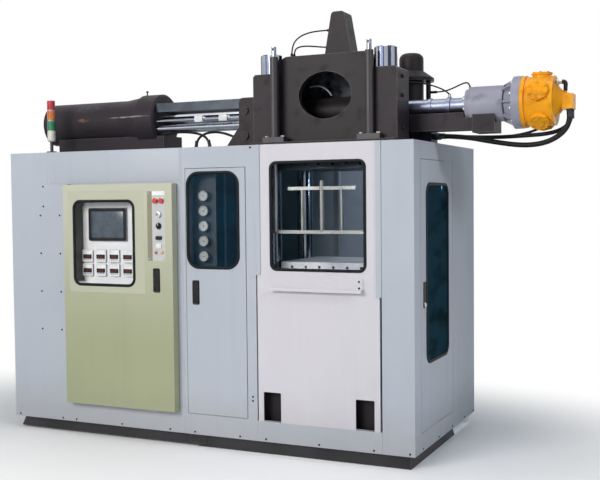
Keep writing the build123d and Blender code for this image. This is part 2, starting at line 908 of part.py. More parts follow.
# Lower strip and corner post at the press bay
lower_strip = folded_panel(front_plane(gauge_bay_left + gauge_bay_width + panel_seam, 0),
                           post_left - gauge_bay_left - gauge_bay_width - 2 * panel_seam, front_door_bottom)
with BuildPart() as press_bay_panels:
    add(lower_strip)
    with BuildSketch(Plane.XY.offset(sill)):
        with Locations((left_end + post_left, front_face)):
            Rectangle(cabinet_length - post_left, sheet, align=(Align.MIN, Align.MIN))
            Rectangle(sheet, post_return, align=(Align.MIN, Align.MIN))
        with Locations((right_end, front_face)):
            Rectangle(sheet, post_side_width, align=(Align.MAX, Align.MIN))
        with Locations((right_end, front_face + post_side_width)):
            Rectangle(panel_fold, sheet, align=(Align.MAX, Align.MAX))
    extrude(amount=cabinet_height)
save("press_bay_panels", press_bay_panels)

# Door guides: channels that hold the lifting door's two edges
guide_depth = front_door_fold + 2 * guide_play
with BuildPart() as door_guides:
    for wall, side, bottom in ((bay_right + panel_seam, 1, left_guide_bottom),
                               (post_left - panel_seam, -1, right_guide_bottom)):
        edge = Align.MIN if side > 0 else Align.MAX
        with BuildSketch(Plane.XY.offset(sill + bottom)):
            with Locations((left_end + wall, front_face - guide_play - sheet)):
                Rectangle(sheet, guide_depth + 2 * sheet, align=(edge, Align.MIN))
                Rectangle(guide_lip, sheet, align=(edge, Align.MIN))
            with Locations((left_end + wall, front_face + front_door_fold + guide_play)):
                Rectangle(guide_lip, sheet, align=(edge, Align.MIN))
        extrude(amount=cabinet_height - bottom)
save("door_guides", door_guides)

# Lifting front door: one sheet with two notches at its foot and a folded lip to lift it by
front_door_plane = front_plane(front_door_left, front_door_bottom)
front_window = (front_window_left, front_window_bottom, front_window_width, front_window_height,
                front_window_corner)
front_sheet = sheet_door(front_door_plane, front_door_width, front_door_height, front_door_fold, front_window)
lip_plane = moved(front_door_plane, lip_left, lip_bottom).offset(seat_gap)
with BuildPart() as front_door:
    add(front_sheet.part)
    for notch in (notch_left, notch_right):
        with BuildSketch(front_door_plane):
            with Locations((notch + notch_width / 2, 0)):
                RectangleRounded(notch_width, 2 * notch_height, notch_corner)
        extrude(amount=-front_door_fold, mode=Mode.SUBTRACT)
    with Locations(lip_plane):
        Box(lip_width, lip_height, sheet, align=(Align.MIN, Align.MIN, Align.MIN))
        Box(lip_width, sheet, lip_reach, align=(Align.MIN, Align.MIN, Align.MIN))
    with Locations(lip_plane.offset(lip_reach)):
        Box(lip_width, lip_reach / 2, sheet, align=(Align.MIN, Align.MAX, Align.MAX))
save("front_door", front_door)
save("front_door_pane", window_pane(front_door_plane, front_window))

# Right side: sill, head and rear panel, with the pivot pins of the side door
side_opening = side_door_width + side_door_left - post_side_width + hinge_gap - panel_seam
rear_side_start = post_side_width + panel_seam + side_opening + panel_seam
side_pivot = (right_end - hinge_inset, front_face + side_door_left + side_door_width - hinge_inset)
side_pans = [
    folded_panel(side_plane(post_side_width + panel_seam, 0), side_opening, side_door_bottom - door_gap),
    folded_panel(side_plane(post_side_width + panel_seam, side_door_top + door_gap), side_opening,
                 cabinet_height - side_door_top - door_gap),
    folded_panel(side_plane(rear_side_start, 0), cabinet_depth - rear_side_start, cabinet_height)]
with BuildPart() as side_panels:
    add(side_pans)
    with Locations((*side_pivot, sill + side_door_bottom - door_gap)):
        Cylinder(hinge_pin_radius, hinge_pin_length, align=(Align.CENTER, Align.CENTER, Align.MIN))
    with Locations((*side_pivot, sill + side_door_top + door_gap)):
        Cylinder(hinge_pin_radius, hinge_pin_length, align=(Align.CENTER, Align.CENTER, Align.MAX))
save("side_panels", side_panels)

# Side door
side_door_plane = side_plane(side_door_left, side_door_bottom)
side_window = (side_window_left, side_window_bottom, side_window_width, side_window_height, side_window_corner)
side_latch_at = (side_latch_left + latch_width / 2, side_latch_bottom + latch_height / 2)
save("side_door", sheet_door(side_door_plane, side_door_width, side_door_height, panel_fold / 2 + sheet,
                             side_window, side_latch_at, (side_door_width - hinge_inset, hinge_inset)))
save("side_door_pane", window_pane(side_door_plane, side_window))
save("side_latch", latch_paddle(side_door_plane, side_latch_at))

# Left end and rear panels
rear_span = cabinet_length - panel_fold - panel_seam
rear_width = rear_span / 3
end_width = cabinet_depth - panel_fold - panel_seam
rear_pans = [folded_panel(end_plane(0, 0), end_width, cabinet_height)]
for bay in range(3):
    rear_pans.append(folded_panel(rear_plane(panel_fold + panel_seam + bay * rear_width, 0),
                                  rear_width - panel_fold * (bay // 2) - panel_seam, cabinet_height))
with BuildPart() as end_and_rear_panels:
    add(rear_pans)
save("end_and_rear_panels", end_and_rear_panels)

# Top panel over the left bays, with two glands for the hoses of the injection unit
cylinder_start = left_end + cylinder_end_from_left
collar_start = left_end + collar_from_left
collar_end = collar_start + collar_width
top_gland_places = [(collar_end + cylinder_gland_reach, cylinder_gland_across),
                    (collar_end + bracket_gland_reach, bracket_port_across)]
top_plane = Plane((left_end + panel_fold + panel_seam, front_face + panel_fold + panel_seam, cabinet_top))
top_end = -crosshead_half_width - door_gap
top_sheet = folded_panel(top_plane, top_end - left_end - panel_fold - panel_seam,
                         cabinet_depth - 2 * (panel_fold + panel_seam))
with BuildPart() as top_panel:
    add(top_sheet)
    with Locations(*[(*place, cabinet_top) for place in top_gland_places]):
        Cylinder(small_port_radius, small_port_height, align=(Align.CENTER, Align.CENTER, Align.MIN))
save("top_panel", top_panel)

# Power pack: oil tank with the pump and its motor on the lid
tank_centre = (left_end + tank_from_left + tank_length / 2, front_face + tank_from_front + tank_depth / 2)
motor_axis_height = sill + tank_height + pump_motor_foot + pump_motor_radius
with BuildPart() as power_pack:
    with Locations((*tank_centre, sill)):
        Box(tank_length, tank_depth, tank_height, align=(Align.CENTER, Align.CENTER, Align.MIN))
    with Locations((*tank_centre, sill + tank_height)):
        Box(pump_motor_length / 2, pump_motor_radius, pump_motor_foot + pump_motor_radius / 2,
            align=(Align.CENTER, Align.CENTER, Align.MIN))
    with BuildSketch(Plane.YZ.offset(tank_centre[0] - pump_motor_length / 2)):
        with Locations((tank_centre[1], motor_axis_height)):
            Circle(pump_motor_radius)
    extrude(amount=pump_motor_length)
    with BuildSketch(Plane.YZ.offset(tank_centre[0] + pump_motor_length / 2)):
        with Locations((tank_centre[1], motor_axis_height)):
            Circle(pump_radius)
    extrude(amount=pump_length)
save("power_pack", power_pack)

# Press bed with the clamp cylinder's bore
with BuildPart() as press_bed:
    with Locations((0, 0, base_height)):
        Box(2 * bed_half_width, 2 * bed_half_depth, bed_top - base_height,
            align=(Align.CENTER, Align.CENTER, Align.MIN))
    chamfer(press_bed.edges().filter_by(Axis.Z), bed_chamfer)
    with BuildSketch(Plane.XY.offset(ram_bore_bottom)):
        Circle(ram_radius + ram_clearance)
    extrude(amount=bed_top, mode=Mode.SUBTRACT)
    with BuildSketch(Plane.XY.offset(tie_bar_foot)):
        with GridLocations(tie_bar_spacing_x, tie_bar_spacing_y, 2, 2):
            Circle(tie_bar_radius + seat_gap)
    extrude(amount=bed_top, mode=Mode.SUBTRACT)
save("press_bed", press_bed)

# Clamp ram and moving platen with its heating plate
with BuildPart() as clamp_ram:
    with BuildSketch(Plane.XY.offset(ram_bore_bottom)):
        Circle(ram_radius)
    extrude(amount=platen_bottom - ram_bore_bottom)
save("clamp_ram", clamp_ram)
platen_top = platen_bottom + platen_thickness


def heating_plate(bottom, thickness, with_nozzle):
    """A plate bored from the front for its cartridge heaters."""
    with BuildPart() as plate:
        with Locations((0, 0, bottom)):
            Box(2 * heater_half_width, 2 * heater_half_depth, thickness,
                align=(Align.CENTER, Align.CENTER, Align.MIN))
        with BuildSketch(Plane.XZ.offset(heater_half_depth)):
            with Locations((0, bottom + thickness / 2)):
                with GridLocations(heater_bore_spacing, 0, heater_bore_count, 1):
                    Circle(heater_bore_radius)
        extrude(amount=-heater_bore_depth, mode=Mode.SUBTRACT)
        if with_nozzle:
            with BuildSketch(Plane.XY.offset(bottom)):
                Circle(nozzle_radius + nozzle_clearance)
            extrude(amount=thickness, mode=Mode.SUBTRACT)
    return plate


lower_heater = heating_plate(platen_top + seat_gap, heater_thickness, False)
with BuildPart() as moving_platen:
    with BuildSketch(Plane.XY.offset(platen_bottom)):
        Rectangle(2 * platen_half_width, 2 * platen_half_depth)
        with GridLocations(tie_bar_spacing_x, tie_bar_spacing_y, 2, 2):
            Circle(tie_bar_radius + platen_bore_clearance, mode=Mode.SUBTRACT)
    extrude(amount=platen_thickness)
    add(lower_heater.part)
save("moving_platen", moving_platen)
upper_heater_thickness = heater_thickness
save("upper_heating_plate", heating_plate(crosshead_bottom - upper_heater_thickness, upper_heater_thickness, True))

# Tie bars and their nuts
with BuildPart() as tie_bars:
    with BuildSketch(Plane.XY.offset(tie_bar_foot)):
        with GridLocations(tie_bar_spacing_x, tie_bar_spacing_y, 2, 2):
            Circle(tie_bar_radius)
    extrude(amount=block_top + nut_height - nut_chamfer - tie_bar_foot)
with BuildPart() as tie_bar_nuts:
    with BuildSketch(Plane.XY.offset(block_top)):
        with Locations((0, -tie_bar_spacing_y / 2)):
            with GridLocations(tie_bar_spacing_x, 0, 2, 1):
                Circle(nut_radius)
    extrude(amount=nut_height)
    chamfer(tie_bar_nuts.edges().filter_by(GeomType.CIRCLE).group_by(Axis.Z)[-1], nut_chamfer)
    with BuildSketch(Plane.XY.offset(block_top)):
        with Locations((0, -tie_bar_spacing_y / 2)):
            with GridLocations(tie_bar_spacing_x, 0, 2, 1):
                Circle(tie_bar_radius + seat_gap)
    extrude(amount=nut_height, mode=Mode.SUBTRACT)
with BuildPart() as bars_and_nuts:
    add(tie_bars.part)
    add(tie_bar_nuts.part)
save("tie_bars", bars_and_nuts)

# Crosshead: slab, two column blocks and between them the hood with its oval opening
lift_places = [(-lift_spacing / 2, -lift_from_axis), (lift_spacing / 2, -lift_from_axis)]
hood_bottom = slab_top + seat_gap
hood_half_width = block_inner - seat_gap
with BuildPart() as hood:
    with BuildSketch(Plane.XZ.offset(-hood_front)) as hood_outline:
        with Locations((0, hood_bottom)):
            Rectangle(2 * hood_half_width, hood_top - hood_bottom, align=(Align.CENTER, Align.MIN))
        fillet(hood_outline.vertices().group_by(Axis.Y)[-1], hood_corner)
    extrude(amount=hood_front - hood_back)
    with Locations((0, hood_back - hood_back_wall, hood_bottom)):
        Box(2 * (hood_half_width - hood_side_wall), hood_back - hood_front - hood_wall - hood_back_wall,
            hood_top - hood_wall - hood_bottom, align=(Align.CENTER, Align.MAX, Align.MIN), mode=Mode.SUBTRACT)
    with BuildSketch(Plane.XZ.offset(-hood_front)):
        with Locations((0, eye_hole_height)):
            Ellipse(eye_hole_half_width, eye_hole_half_height)
    extrude(amount=-hood_wall, mode=Mode.SUBTRACT)
with BuildPart() as crosshead:
    with Locations((0, 0, crosshead_bottom)):
        Box(2 * crosshead_half_width, 2 * slab_half_depth, slab_top - crosshead_bottom,
            align=(Align.CENTER, Align.CENTER, Align.MIN))
    with BuildSketch(Plane.XZ.offset(-block_front)):
        for side in (1, -1):
            with BuildLine():
                Polyline(
                    (side * block_inner, slab_top),
                    (side * crosshead_half_width, slab_top),
                    (side * crosshead_half_width, block_top - block_chamfer),
                    (side * (crosshead_half_width - block_chamfer), block_top),
                    (side * block_inner, block_top),
                    close=True)
            make_face()
    extrude(amount=block_front - block_back)
    add(hood.part)
    with BuildSketch(Plane.XY.offset(crosshead_bottom)):
        with GridLocations(tie_bar_spacing_x, tie_bar_spacing_y, 2, 2):
            Circle(tie_bar_radius + seat_gap)
    extrude(amount=block_top - crosshead_bottom, mode=Mode.SUBTRACT)
    with BuildSketch(Plane.XY.offset(crosshead_bottom)):
        Circle(nozzle_radius + nozzle_clearance)
        with Locations(*lift_places):
            Circle(lift_rod_radius + lift_rod_clearance)
    extrude(amount=slab_top - crosshead_bottom, mode=Mode.SUBTRACT)
    with BuildSketch(Plane.YZ.offset(0)):
        with Locations((0, injection_height)):
            Circle(barrel_radius + seat_gap)
    extrude(amount=crosshead_half_width, mode=Mode.SUBTRACT)
    with BuildSketch(Plane.YZ.offset(-crosshead_half_width)):
        with Locations((0, injection_height)):
            Circle(piston_rod_radius + rod_clearance)
    extrude(amount=crosshead_half_width, mode=Mode.SUBTRACT)
    with Locations(*[(*place, hood_top) for place in hood_gland_places]):
        Cylinder(cable_gland_radius, cable_gland_length, align=(Align.CENTER, Align.CENTER, Align.MIN))
save("crosshead", crosshead)

# Rear columns: round sleeves over the rear tie bars, each with a bolting flange, a stud and a cap
rear_places = [(-tie_bar_spacing_x / 2, tie_bar_spacing_y / 2), (tie_bar_spacing_x / 2, tie_bar_spacing_y / 2)]
flange_top = column_flange_bottom + column_flange_thickness
stud_gland_start = tie_bar_spacing_x / 2 + stud_from_axis
stud_gland_end = tie_bar_spacing_x / 2 + column_flange_radius + cable_gland_length
column_gland_end = tie_bar_spacing_y / 2 - column_radius - cable_gland_length
column_gland_height = column_flange_bottom - column_gland_drop
with BuildPart() as rear_columns:
    for x, y in rear_places:
        with BuildSketch(Plane((x, y, slab_top), (1, 0, 0), (0, -1, 0))) as column_half:
            with BuildLine():
                Polyline(
                    (0, 0),
                    (column_radius, 0),
                    (column_radius, column_flange_bottom - slab_top),
                    (column_flange_radius, column_flange_bottom - slab_top),
                    (column_flange_radius, flange_top - slab_top),
                    (column_cone_radius, flange_top + column_cone_height - slab_top),
                    (column_radius, flange_top + column_cone_height - slab_top),
                    (column_radius, column_top - slab_top),
                    (0, column_top - slab_top),
                    close=True)
            make_face()
            fillet(column_half.vertices().group_by(Axis.Y)[-1].sort_by(Axis.X)[-1], column_dome)
        revolve(axis=Axis((x, y, 0), (0, 0, 1)))
        outer = stud_from_axis if x > 0 else -stud_from_axis
        with BuildSketch(Plane.XY.offset(slab_top)):
            with Locations((x + outer, y)):
                Circle(stud_radius)
        extrude(amount=column_flange_bottom - slab_top)
        with BuildSketch(Plane.XY.offset(slab_top)):
            with Locations((x, y)):
                Circle(tie_bar_radius + seat_gap)
        extrude(amount=column_top - column_cover - slab_top, mode=Mode.SUBTRACT)
    with BuildSketch(Plane.YZ.offset(stud_gland_start)):
        with Locations((tie_bar_spacing_y / 2, stud_gland_height)):
            Circle(cable_gland_radius)
    extrude(amount=stud_gland_end - stud_gland_start)
    with BuildSketch(Plane.XZ.offset(-column_gland_end)):
        with Locations((tie_bar_spacing_x / 2, column_gland_height)):
            Circle(cable_gland_radius)
    extrude(amount=-cable_gland_length - cable_gland_radius)
save("rear_columns", rear_columns)

# Lift cylinders with their eyes, and the frame that their rods carry
with BuildPart() as lift_cylinders:
    with Locations(*[(x, y, slab_top) for x, y in lift_places]):
        Box(lift_flange_width, lift_flange_depth, lift_flange_height, align=(Align.CENTER, Align.CENTER, Align.MIN))
        Cylinder(lift_tube_radius, lift_tube_top - slab_top, align=(Align.CENTER, Align.CENTER, Align.MIN))
    with Locations(*[(x, y, lift_tube_top) for x, y in lift_places]):
        Cylinder(lift_eye_radius, lift_eye_height, align=(Align.CENTER, Align.CENTER, Align.MIN))
    with BuildSketch(Plane.XZ):
        with Locations((0, lift_tube_top + lift_eye_height - 2 * lift_eye_bore)):
            with GridLocations(lift_spacing, 0, 2, 1):
                Circle(lift_eye_bore)
    extrude(amount=2 * lift_from_axis, mode=Mode.SUBTRACT)
    with BuildSketch(Plane.XY.offset(slab_top)):
        with Locations(*lift_places):
            Circle(lift_rod_radius + lift_rod_clearance)
    extrude(amount=lift_flange_height, mode=Mode.SUBTRACT)
    with BuildSketch(Plane.XY.offset(slab_top + lift_flange_height)):
        with Locations(*lift_places):
            Circle(lift_bore_radius)
    extrude(amount=lift_tube_top - slab_top - lift_flange_height - lift_tube_radius, mode=Mode.SUBTRACT)
save("lift_cylinders", lift_cylinders)
with BuildPart() as lift_frame:
    with BuildSketch(Plane.XY.offset(lift_low_bar)):
        with Locations(*lift_places):
            Circle(lift_rod_radius)
    extrude(amount=lift_rod_top - lift_low_bar)
    with BuildSketch(Plane.XY.offset(slab_top + lift_flange_height)):
        with Locations(*lift_places):
            Circle(lift_collar_radius)
    extrude(amount=lift_collar_height)
    with Locations((0, -lift_from_axis, lift_low_bar)):
        Box(lift_spacing + 2 * lift_bar_side, lift_bar_side, lift_bar_side)
    with Locations((0, -lift_from_axis, lift_high_bar)):
        Box(lift_high_bar_width, lift_bar_side, lift_bar_side)
    with BuildSketch(Plane.XY.offset(lift_low_bar)):
        with Locations((0, -lift_from_axis)):
            with GridLocations(lift_guide_spacing, 0, 2, 1):
                Circle(lift_guide_radius)
    extrude(amount=lift_high_bar - lift_low_bar)
    with BuildSketch(Plane.XY.offset(lift_low_bar)):
        with Locations((0, -lift_from_axis)):
            Circle(lift_rod_radius)
    extrude(amount=lift_centre_top - lift_low_bar)
save("lift_frame", lift_frame)

# Tower cover: a tapered sheet cover, open below
with BuildPart() as tower_cover:
    with BuildSketch(Plane.XZ.offset(-tower_front)) as tower_outline:
        with BuildLine():
            Polyline(
                (-tower_base_width / 2, hood_top),
                (tower_base_width / 2, hood_top),
                (tower_top_width / 2, hood_top + tower_height),
                (-tower_top_width / 2, hood_top + tower_height),
                close=True)
        make_face()
        fillet(tower_outline.vertices().group_by(Axis.Y)[-1], tower_corner)
    extrude(amount=-tower_depth)
    offset(amount=-sheet, openings=tower_cover.faces().sort_by(Axis.Z)[0])
    for y, rise in tower_gland_places:
        side_share = rise / tower_height
        side_x = (tower_base_width + side_share * (tower_top_width - tower_base_width)) / 2
        with BuildSketch(Plane.YZ.offset(-side_x + cable_gland_radius)):
            with Locations((y, hood_top + rise)):
                Circle(cable_gland_radius)
        extrude(amount=-cable_gland_length)
save("tower_cover", tower_cover)

# Injection cylinder with its tapered collar, on one long bed
cylinder_body = turned(
    [(cylinder_start, 0), (cylinder_start, cylinder_radius), (collar_start - collar_taper, cylinder_radius),
     (collar_start, collar_radius - collar_edge), (collar_start + collar_edge, collar_radius),
     (collar_end - collar_edge, collar_radius), (collar_end, collar_radius - collar_edge),
     (collar_end, piston_rod_radius + rod_clearance),
     (collar_end - cylinder_head, piston_rod_radius + rod_clearance), (collar_end - cylinder_head, cylinder_bore),
     (cylinder_start + cylinder_head, cylinder_bore), (cylinder_start + cylinder_head, 0)],
    injection_height)
with BuildPart() as injection_cylinder:
    add(cylinder_body)
    bed_start = cylinder_start + bed_from_end
    with Locations((bed_start, 0, cabinet_top)):
        Box(collar_end + foot_reach - bed_start, 2 * foot_half_depth, injection_height - cylinder_bore - cabinet_top,
            align=(Align.MIN, Align.CENTER, Align.MIN))
    with BuildSketch(Plane.YZ.offset(cylinder_start + cylinder_head)):
        with Locations((0, injection_height)):
            Circle(cylinder_bore)
    extrude(amount=collar_end - cylinder_start - 2 * cylinder_head, mode=Mode.SUBTRACT)
    with BuildSketch(Plane.YZ.offset(collar_end)):
        with Locations((collar_port_across, injection_height - collar_port_drop)):
            Circle(small_port_radius)
    extrude(amount=small_port_length)
save("injection_cylinder", injection_cylinder)

# Piston with its rod
web_start = -crosshead_half_width - cheek_length
rod_end = -chamber_half_reach
piston_start = cylinder_start + cylinder_head
with BuildPart() as injection_piston:
    add(turned(
        [(piston_start, 0), (piston_start, cylinder_bore - piston_clearance),
         (piston_start + piston_length, cylinder_bore - piston_clearance),
         (piston_start + piston_length, piston_rod_radius), (rod_end, piston_rod_radius), (rod_end, 0)],
        injection_height))
save("injection_piston", injection_piston)

# Tie beams, guide rods and position sensor between the collar and the bracket
span = web_start - collar_end
with BuildPart() as tie_beams:
    with Locations((collar_end, 0, injection_height + beam_rise)):
        with GridLocations(0, 2 * beam_from_axis, 1, 2):
            Box(span, beam_width, beam_height, align=(Align.MIN, Align.CENTER, Align.CENTER))
save("tie_beams", tie_beams)
with BuildPart() as guide_rods:
    with BuildSketch(Plane.YZ.offset(collar_end)):
        with Locations((0, injection_height - guide_rod_drop)):
            with GridLocations(guide_rod_spacing, 0, 2, 1):
                Circle(guide_rod_radius)
        with Locations((-sensor_rod_from_axis, injection_height - sensor_rod_drop)):
            Circle(sensor_rod_radius)
    extrude(amount=span)
    for share in sensor_shares:
        with Locations((collar_end + share * span, -sensor_rod_from_axis, injection_height - sensor_rod_drop)):
            Box(sensor_length, sensor_depth, sensor_height)
save("guide_rods", guide_rods)

# Bracket: two cheeks and a web, bolted to the crosshead, with the heads of its pins
cheek_end = -crosshead_half_width
with BuildPart() as injection_bracket:
    with BuildSketch(Plane.XZ) as cheek_outline:
        with BuildLine():
            Polyline(
                (web_start - cheek_foot_reach, cheek_bottom),
                (web_start, cheek_foot_top),
                (web_start, cheek_top),
                (cheek_end, cheek_top),
                (cheek_end, cheek_bottom),
                close=True)
        make_face()
        fillet(cheek_outline.vertices().group_by(Axis.Y)[-1].sort_by(Axis.X)[0], cheek_corner)
    extrude(amount=cheek_spacing / 2 + cheek_thickness / 2, both=True)
    with Locations((web_start - cheek_foot_reach, 0, cheek_bottom)):
        Box(cheek_foot_reach + cheek_length, cheek_spacing - cheek_thickness, cheek_top - cheek_bottom,
            align=(Align.MIN, Align.CENTER, Align.MIN), mode=Mode.SUBTRACT)
    with Locations((web_start, 0, bracket_web_bottom)):
        Box(bracket_web, cheek_spacing, cheek_top - cheek_corner - bracket_web_bottom,
            align=(Align.MIN, Align.CENTER, Align.MIN))
    with Locations((cheek_end, 0, cheek_bottom)):
        Box(bracket_plate, cheek_spacing, cheek_top - cheek_bottom, align=(Align.MAX, Align.CENTER, Align.MIN))
    for side in (-1, 1):
        with BuildSketch(Plane.XZ.offset(-side * (cheek_spacing + cheek_thickness) / 2)):
            with Locations((web_start + pin_from_web, upper_pin_height),
                           (web_start + pin_from_web, lower_pin_height)):
                Circle(pin_radius)
        extrude(amount=-side * pin_head)
    with BuildSketch(Plane.YZ.offset(web_start)):
        with Locations((0, injection_height)):
            Circle(piston_rod_radius + rod_clearance)
    extrude(amount=cheek_length, mode=Mode.SUBTRACT)
    with BuildSketch(Plane.YZ.offset(cheek_end - bracket_plate)):
        with Locations((bracket_port_across, injection_height - bracket_port_drop)):
            Circle(small_port_radius)
    extrude(amount=-small_port_length)
save("injection_bracket", injection_bracket)

# Injection chamber with its nozzle, inside the crosshead
chamber_start = hood_side_wall - hood_half_width
chamber_body = turned(
    [(chamber_start, piston_rod_radius + rod_clearance), (chamber_start, chamber_radius),
     (chamber_half_reach, chamber_radius), (chamber_half_reach, 0), (0, 0),
     (0, piston_rod_radius + rod_clearance)],
    injection_height)
with BuildPart() as injection_chamber:
    add(chamber_body)
    with BuildSketch(Plane.XY.offset(crosshead_bottom - upper_heater_thickness)):
        Circle(nozzle_radius)
    extrude(amount=injection_height - chamber_radius / 2 - crosshead_bottom + upper_heater_thickness)
    with BuildSketch(Plane.YZ.offset(chamber_start)):
        with Locations((0, injection_height)):
            Circle(piston_rod_radius + rod_clearance)
    extrude(amount=-chamber_start, mode=Mode.SUBTRACT)
save("injection_chamber", injection_chamber)

# Extruder barrel with its collar and bolted flange
with BuildPart() as extruder_barrel:
    add(turned(
        [(chamber_half_reach, barrel_bore), (chamber_half_reach, barrel_radius),
         (barrel_collar_start, barrel_radius), (barrel_collar_start, barrel_collar_radius),
         (barrel_collar_start + barrel_collar_width, barrel_collar_radius),
         (barrel_collar_start + barrel_collar_width, barrel_radius),
         (barrel_flange_start, barrel_radius), (barrel_flange_start, barrel_flange_radius),
         (barrel_flange_start + barrel_flange_rim, barrel_flange_radius),
         (barrel_flange_start + barrel_flange_rim, barrel_radius),
         (barrel_flange_end - barrel_flange_rim, barrel_radius),
         (barrel_flange_end - barrel_flange_rim, barrel_flange_radius),
         (barrel_flange_end, barrel_flange_radius), (barrel_flange_end, barrel_bore)],
        injection_height))
    with Locations((barrel_flange_start + barrel_flange_rim / 2, 0, injection_height + barrel_flange_radius)):
        Cylinder(cable_gland_radius, 2 * cable_gland_rise)
save("extruder_barrel", extruder_barrel)

# Bearing housing: neck, body, ribbed cone and bolting ring
housing_body = turned(
    [(barrel_flange_end, screw_core_radius + shaft_clearance), (barrel_flange_end, housing_neck_radius),
     (housing_neck_end, housing_neck_radius), (housing_neck_end, housing_radius),
     (housing_end, housing_radius), (housing_end, housing_neck_radius), (housing_cone_end, cone_end_radius),
     (housing_cone_end, ring_radius), (ring_end, ring_radius), (ring_end, screw_core_radius + shaft_clearance)],
    injection_height)
with BuildPart() as bearing_housing:
    add(housing_body)
    for rib in range(rib_count):
        turn = radians(rib * 360 / rib_count)
        with BuildSketch(Plane((0, 0, injection_height), (1, 0, 0), (0, cos(turn), sin(turn)))):
            with BuildLine():
                Polyline(
                    (housing_end - rib_thickness, housing_neck_radius),
                    (housing_end - rib_thickness, housing_radius),
                    (housing_cone_end, ring_radius - rib_thickness),
                    (housing_cone_end, housing_neck_radius),
                    close=True)
            make_face()
        extrude(amount=rib_thickness / 2, both=True)
    with Locations(((barrel_flange_end + housing_neck_end) / 2, 0, injection_height + housing_neck_radius)):
        Cylinder(cable_gland_radius, 2 * cable_gland_rise)
save("bearing_housing", bearing_housing)

# Plasticizing screw on its shaft
with BuildPart() as plasticizing_screw:
    add(turned(
        [(screw_start, 0), (screw_start + screw_tip_length, screw_core_radius), (ring_end, screw_core_radius),
         (ring_end, 0)],
        injection_height))
save("plasticizing_screw", plasticizing_screw)

# Hydraulic motor: a drum with radial cylinders, their caps, and the distributor nose
motor_middle = (ring_end + motor_plate_width + motor_end) / 2
motor_body = turned(
    [(ring_end, 0), (ring_end, motor_plate_radius), (ring_end + motor_plate_width, motor_plate_radius),
     (ring_end + motor_plate_width, motor_drum_radius), (motor_end, motor_drum_radius),
     (motor_end, nose_root_radius), (nose_end - nose_rim, nose_tip_radius), (nose_end, nose_tip_radius),
     (nose_end, 0)],
    injection_height)
with BuildPart() as hydraulic_motor:
    add(motor_body)
    for lobe in range(lobe_count):
        turn = radians(lobe * 360 / lobe_count)
        outward = (0, sin(turn), cos(turn))
        lobe_plane = Plane((motor_middle, 0, injection_height), (1, 0, 0), outward)
        with BuildSketch(lobe_plane):
            Circle(lobe_radius)
        extrude(amount=lobe_reach)
        with BuildSketch(lobe_plane.offset(lobe_reach)):
            RegularPolygon(lobe_cap_radius, lobe_cap_sides)
        extrude(amount=lobe_cap_height)
    with Locations((port_block_start, 0, port_block_bottom)):
        Box(port_block_length, 2 * port_block_half_width, port_block_height,
            align=(Align.MIN, Align.CENTER, Align.MIN))
    drain_out = (0, sin(radians(drain_turn)), cos(radians(drain_turn)))
    with BuildSketch(Plane((motor_middle, 0, injection_height), (1, 0, 0), drain_out)):
        Circle(small_port_radius)
    extrude(amount=drain_reach)
    with BuildLine() as pipe_route:
        FilletPolyline((motor_middle, 0, pipe_height), (pipe_end, 0, pipe_height), (pipe_end, 0, injection_height),
                       radius=pipe_bend)
    with BuildSketch(Plane((motor_middle, 0, pipe_height), z_dir=(1, 0, 0))):
        Circle(pipe_radius)
    sweep()
save("hydraulic_motor", hydraulic_motor)

# Support beam and saddle under the extruder
with BuildPart() as extruder_support:
    with Locations((crosshead_half_width, 0, support_bottom)):
        Box(saddle_start - crosshead_half_width, 2 * support_half_width, support_top - support_bottom,
            align=(Align.MIN, Align.CENTER, Align.MIN))
    with Locations((saddle_start, 0, saddle_bottom)):
        Box(saddle_end - saddle_start, 2 * saddle_half_width, saddle_top - saddle_bottom,
            align=(Align.MIN, Align.CENTER, Align.MIN))
    with BuildSketch(Plane.YZ.offset(crosshead_half_width)):
        with Locations((0, injection_height)):
            Circle(barrel_flange_radius + seat_gap)
    extrude(amount=saddle_end - crosshead_half_width, mode=Mode.SUBTRACT)
    with BuildSketch(Plane.YZ.offset(support_clear_start)):
        with Locations((0, injection_height)):
            Circle(housing_radius + seat_gap)
    extrude(amount=saddle_end - support_clear_start, mode=Mode.SUBTRACT)
save("extruder_support", extruder_support)

# Hose manifold on the slab's right face
manifold_middle = (manifold_near + manifold_far) / 2
with BuildPart() as hose_manifold:
    with Locations((crosshead_half_width, manifold_near, manifold_bottom)):
        Box(manifold_width, manifold_far - manifold_near, manifold_top - manifold_bottom,
            align=(Align.MIN, Align.MIN, Align.MIN))
    with BuildSketch(Plane.YZ.offset(crosshead_half_width + manifold_width)):
        with Locations((manifold_middle, manifold_port_height)):
            with GridLocations(manifold_port_pitch, 0, 3, 1):
                Circle(manifold_port_radius)
    extrude(amount=manifold_port_length)
save("hose_manifold", hose_manifold)

# Signal tower on the cabinet's top
signal_place = (left_end + signal_from_left, front_face + signal_from_front)
with BuildPart() as signal_tower:
    with Locations((*signal_place, cabinet_top)):
        Cylinder(signal_foot_radius, signal_foot_height, align=(Align.CENTER, Align.CENTER, Align.MIN))
        Cylinder(signal_pole_radius, signal_pole_height, align=(Align.CENTER, Align.CENTER, Align.MIN))
    for lens in range(signal_lens_count):
        lens_bottom = cabinet_top + signal_pole_height + lens * (signal_lens_height + signal_ring_height)
        with Locations((*signal_place, lens_bottom)):
            Cylinder(signal_ring_radius, signal_ring_height, align=(Align.CENTER, Align.CENTER, Align.MIN))
        with Locations((*signal_place, lens_bottom + signal_ring_height)):
            Cylinder(signal_radius, signal_lens_height, align=(Align.CENTER, Align.CENTER, Align.MIN))
save("signal_tower", signal_tower)


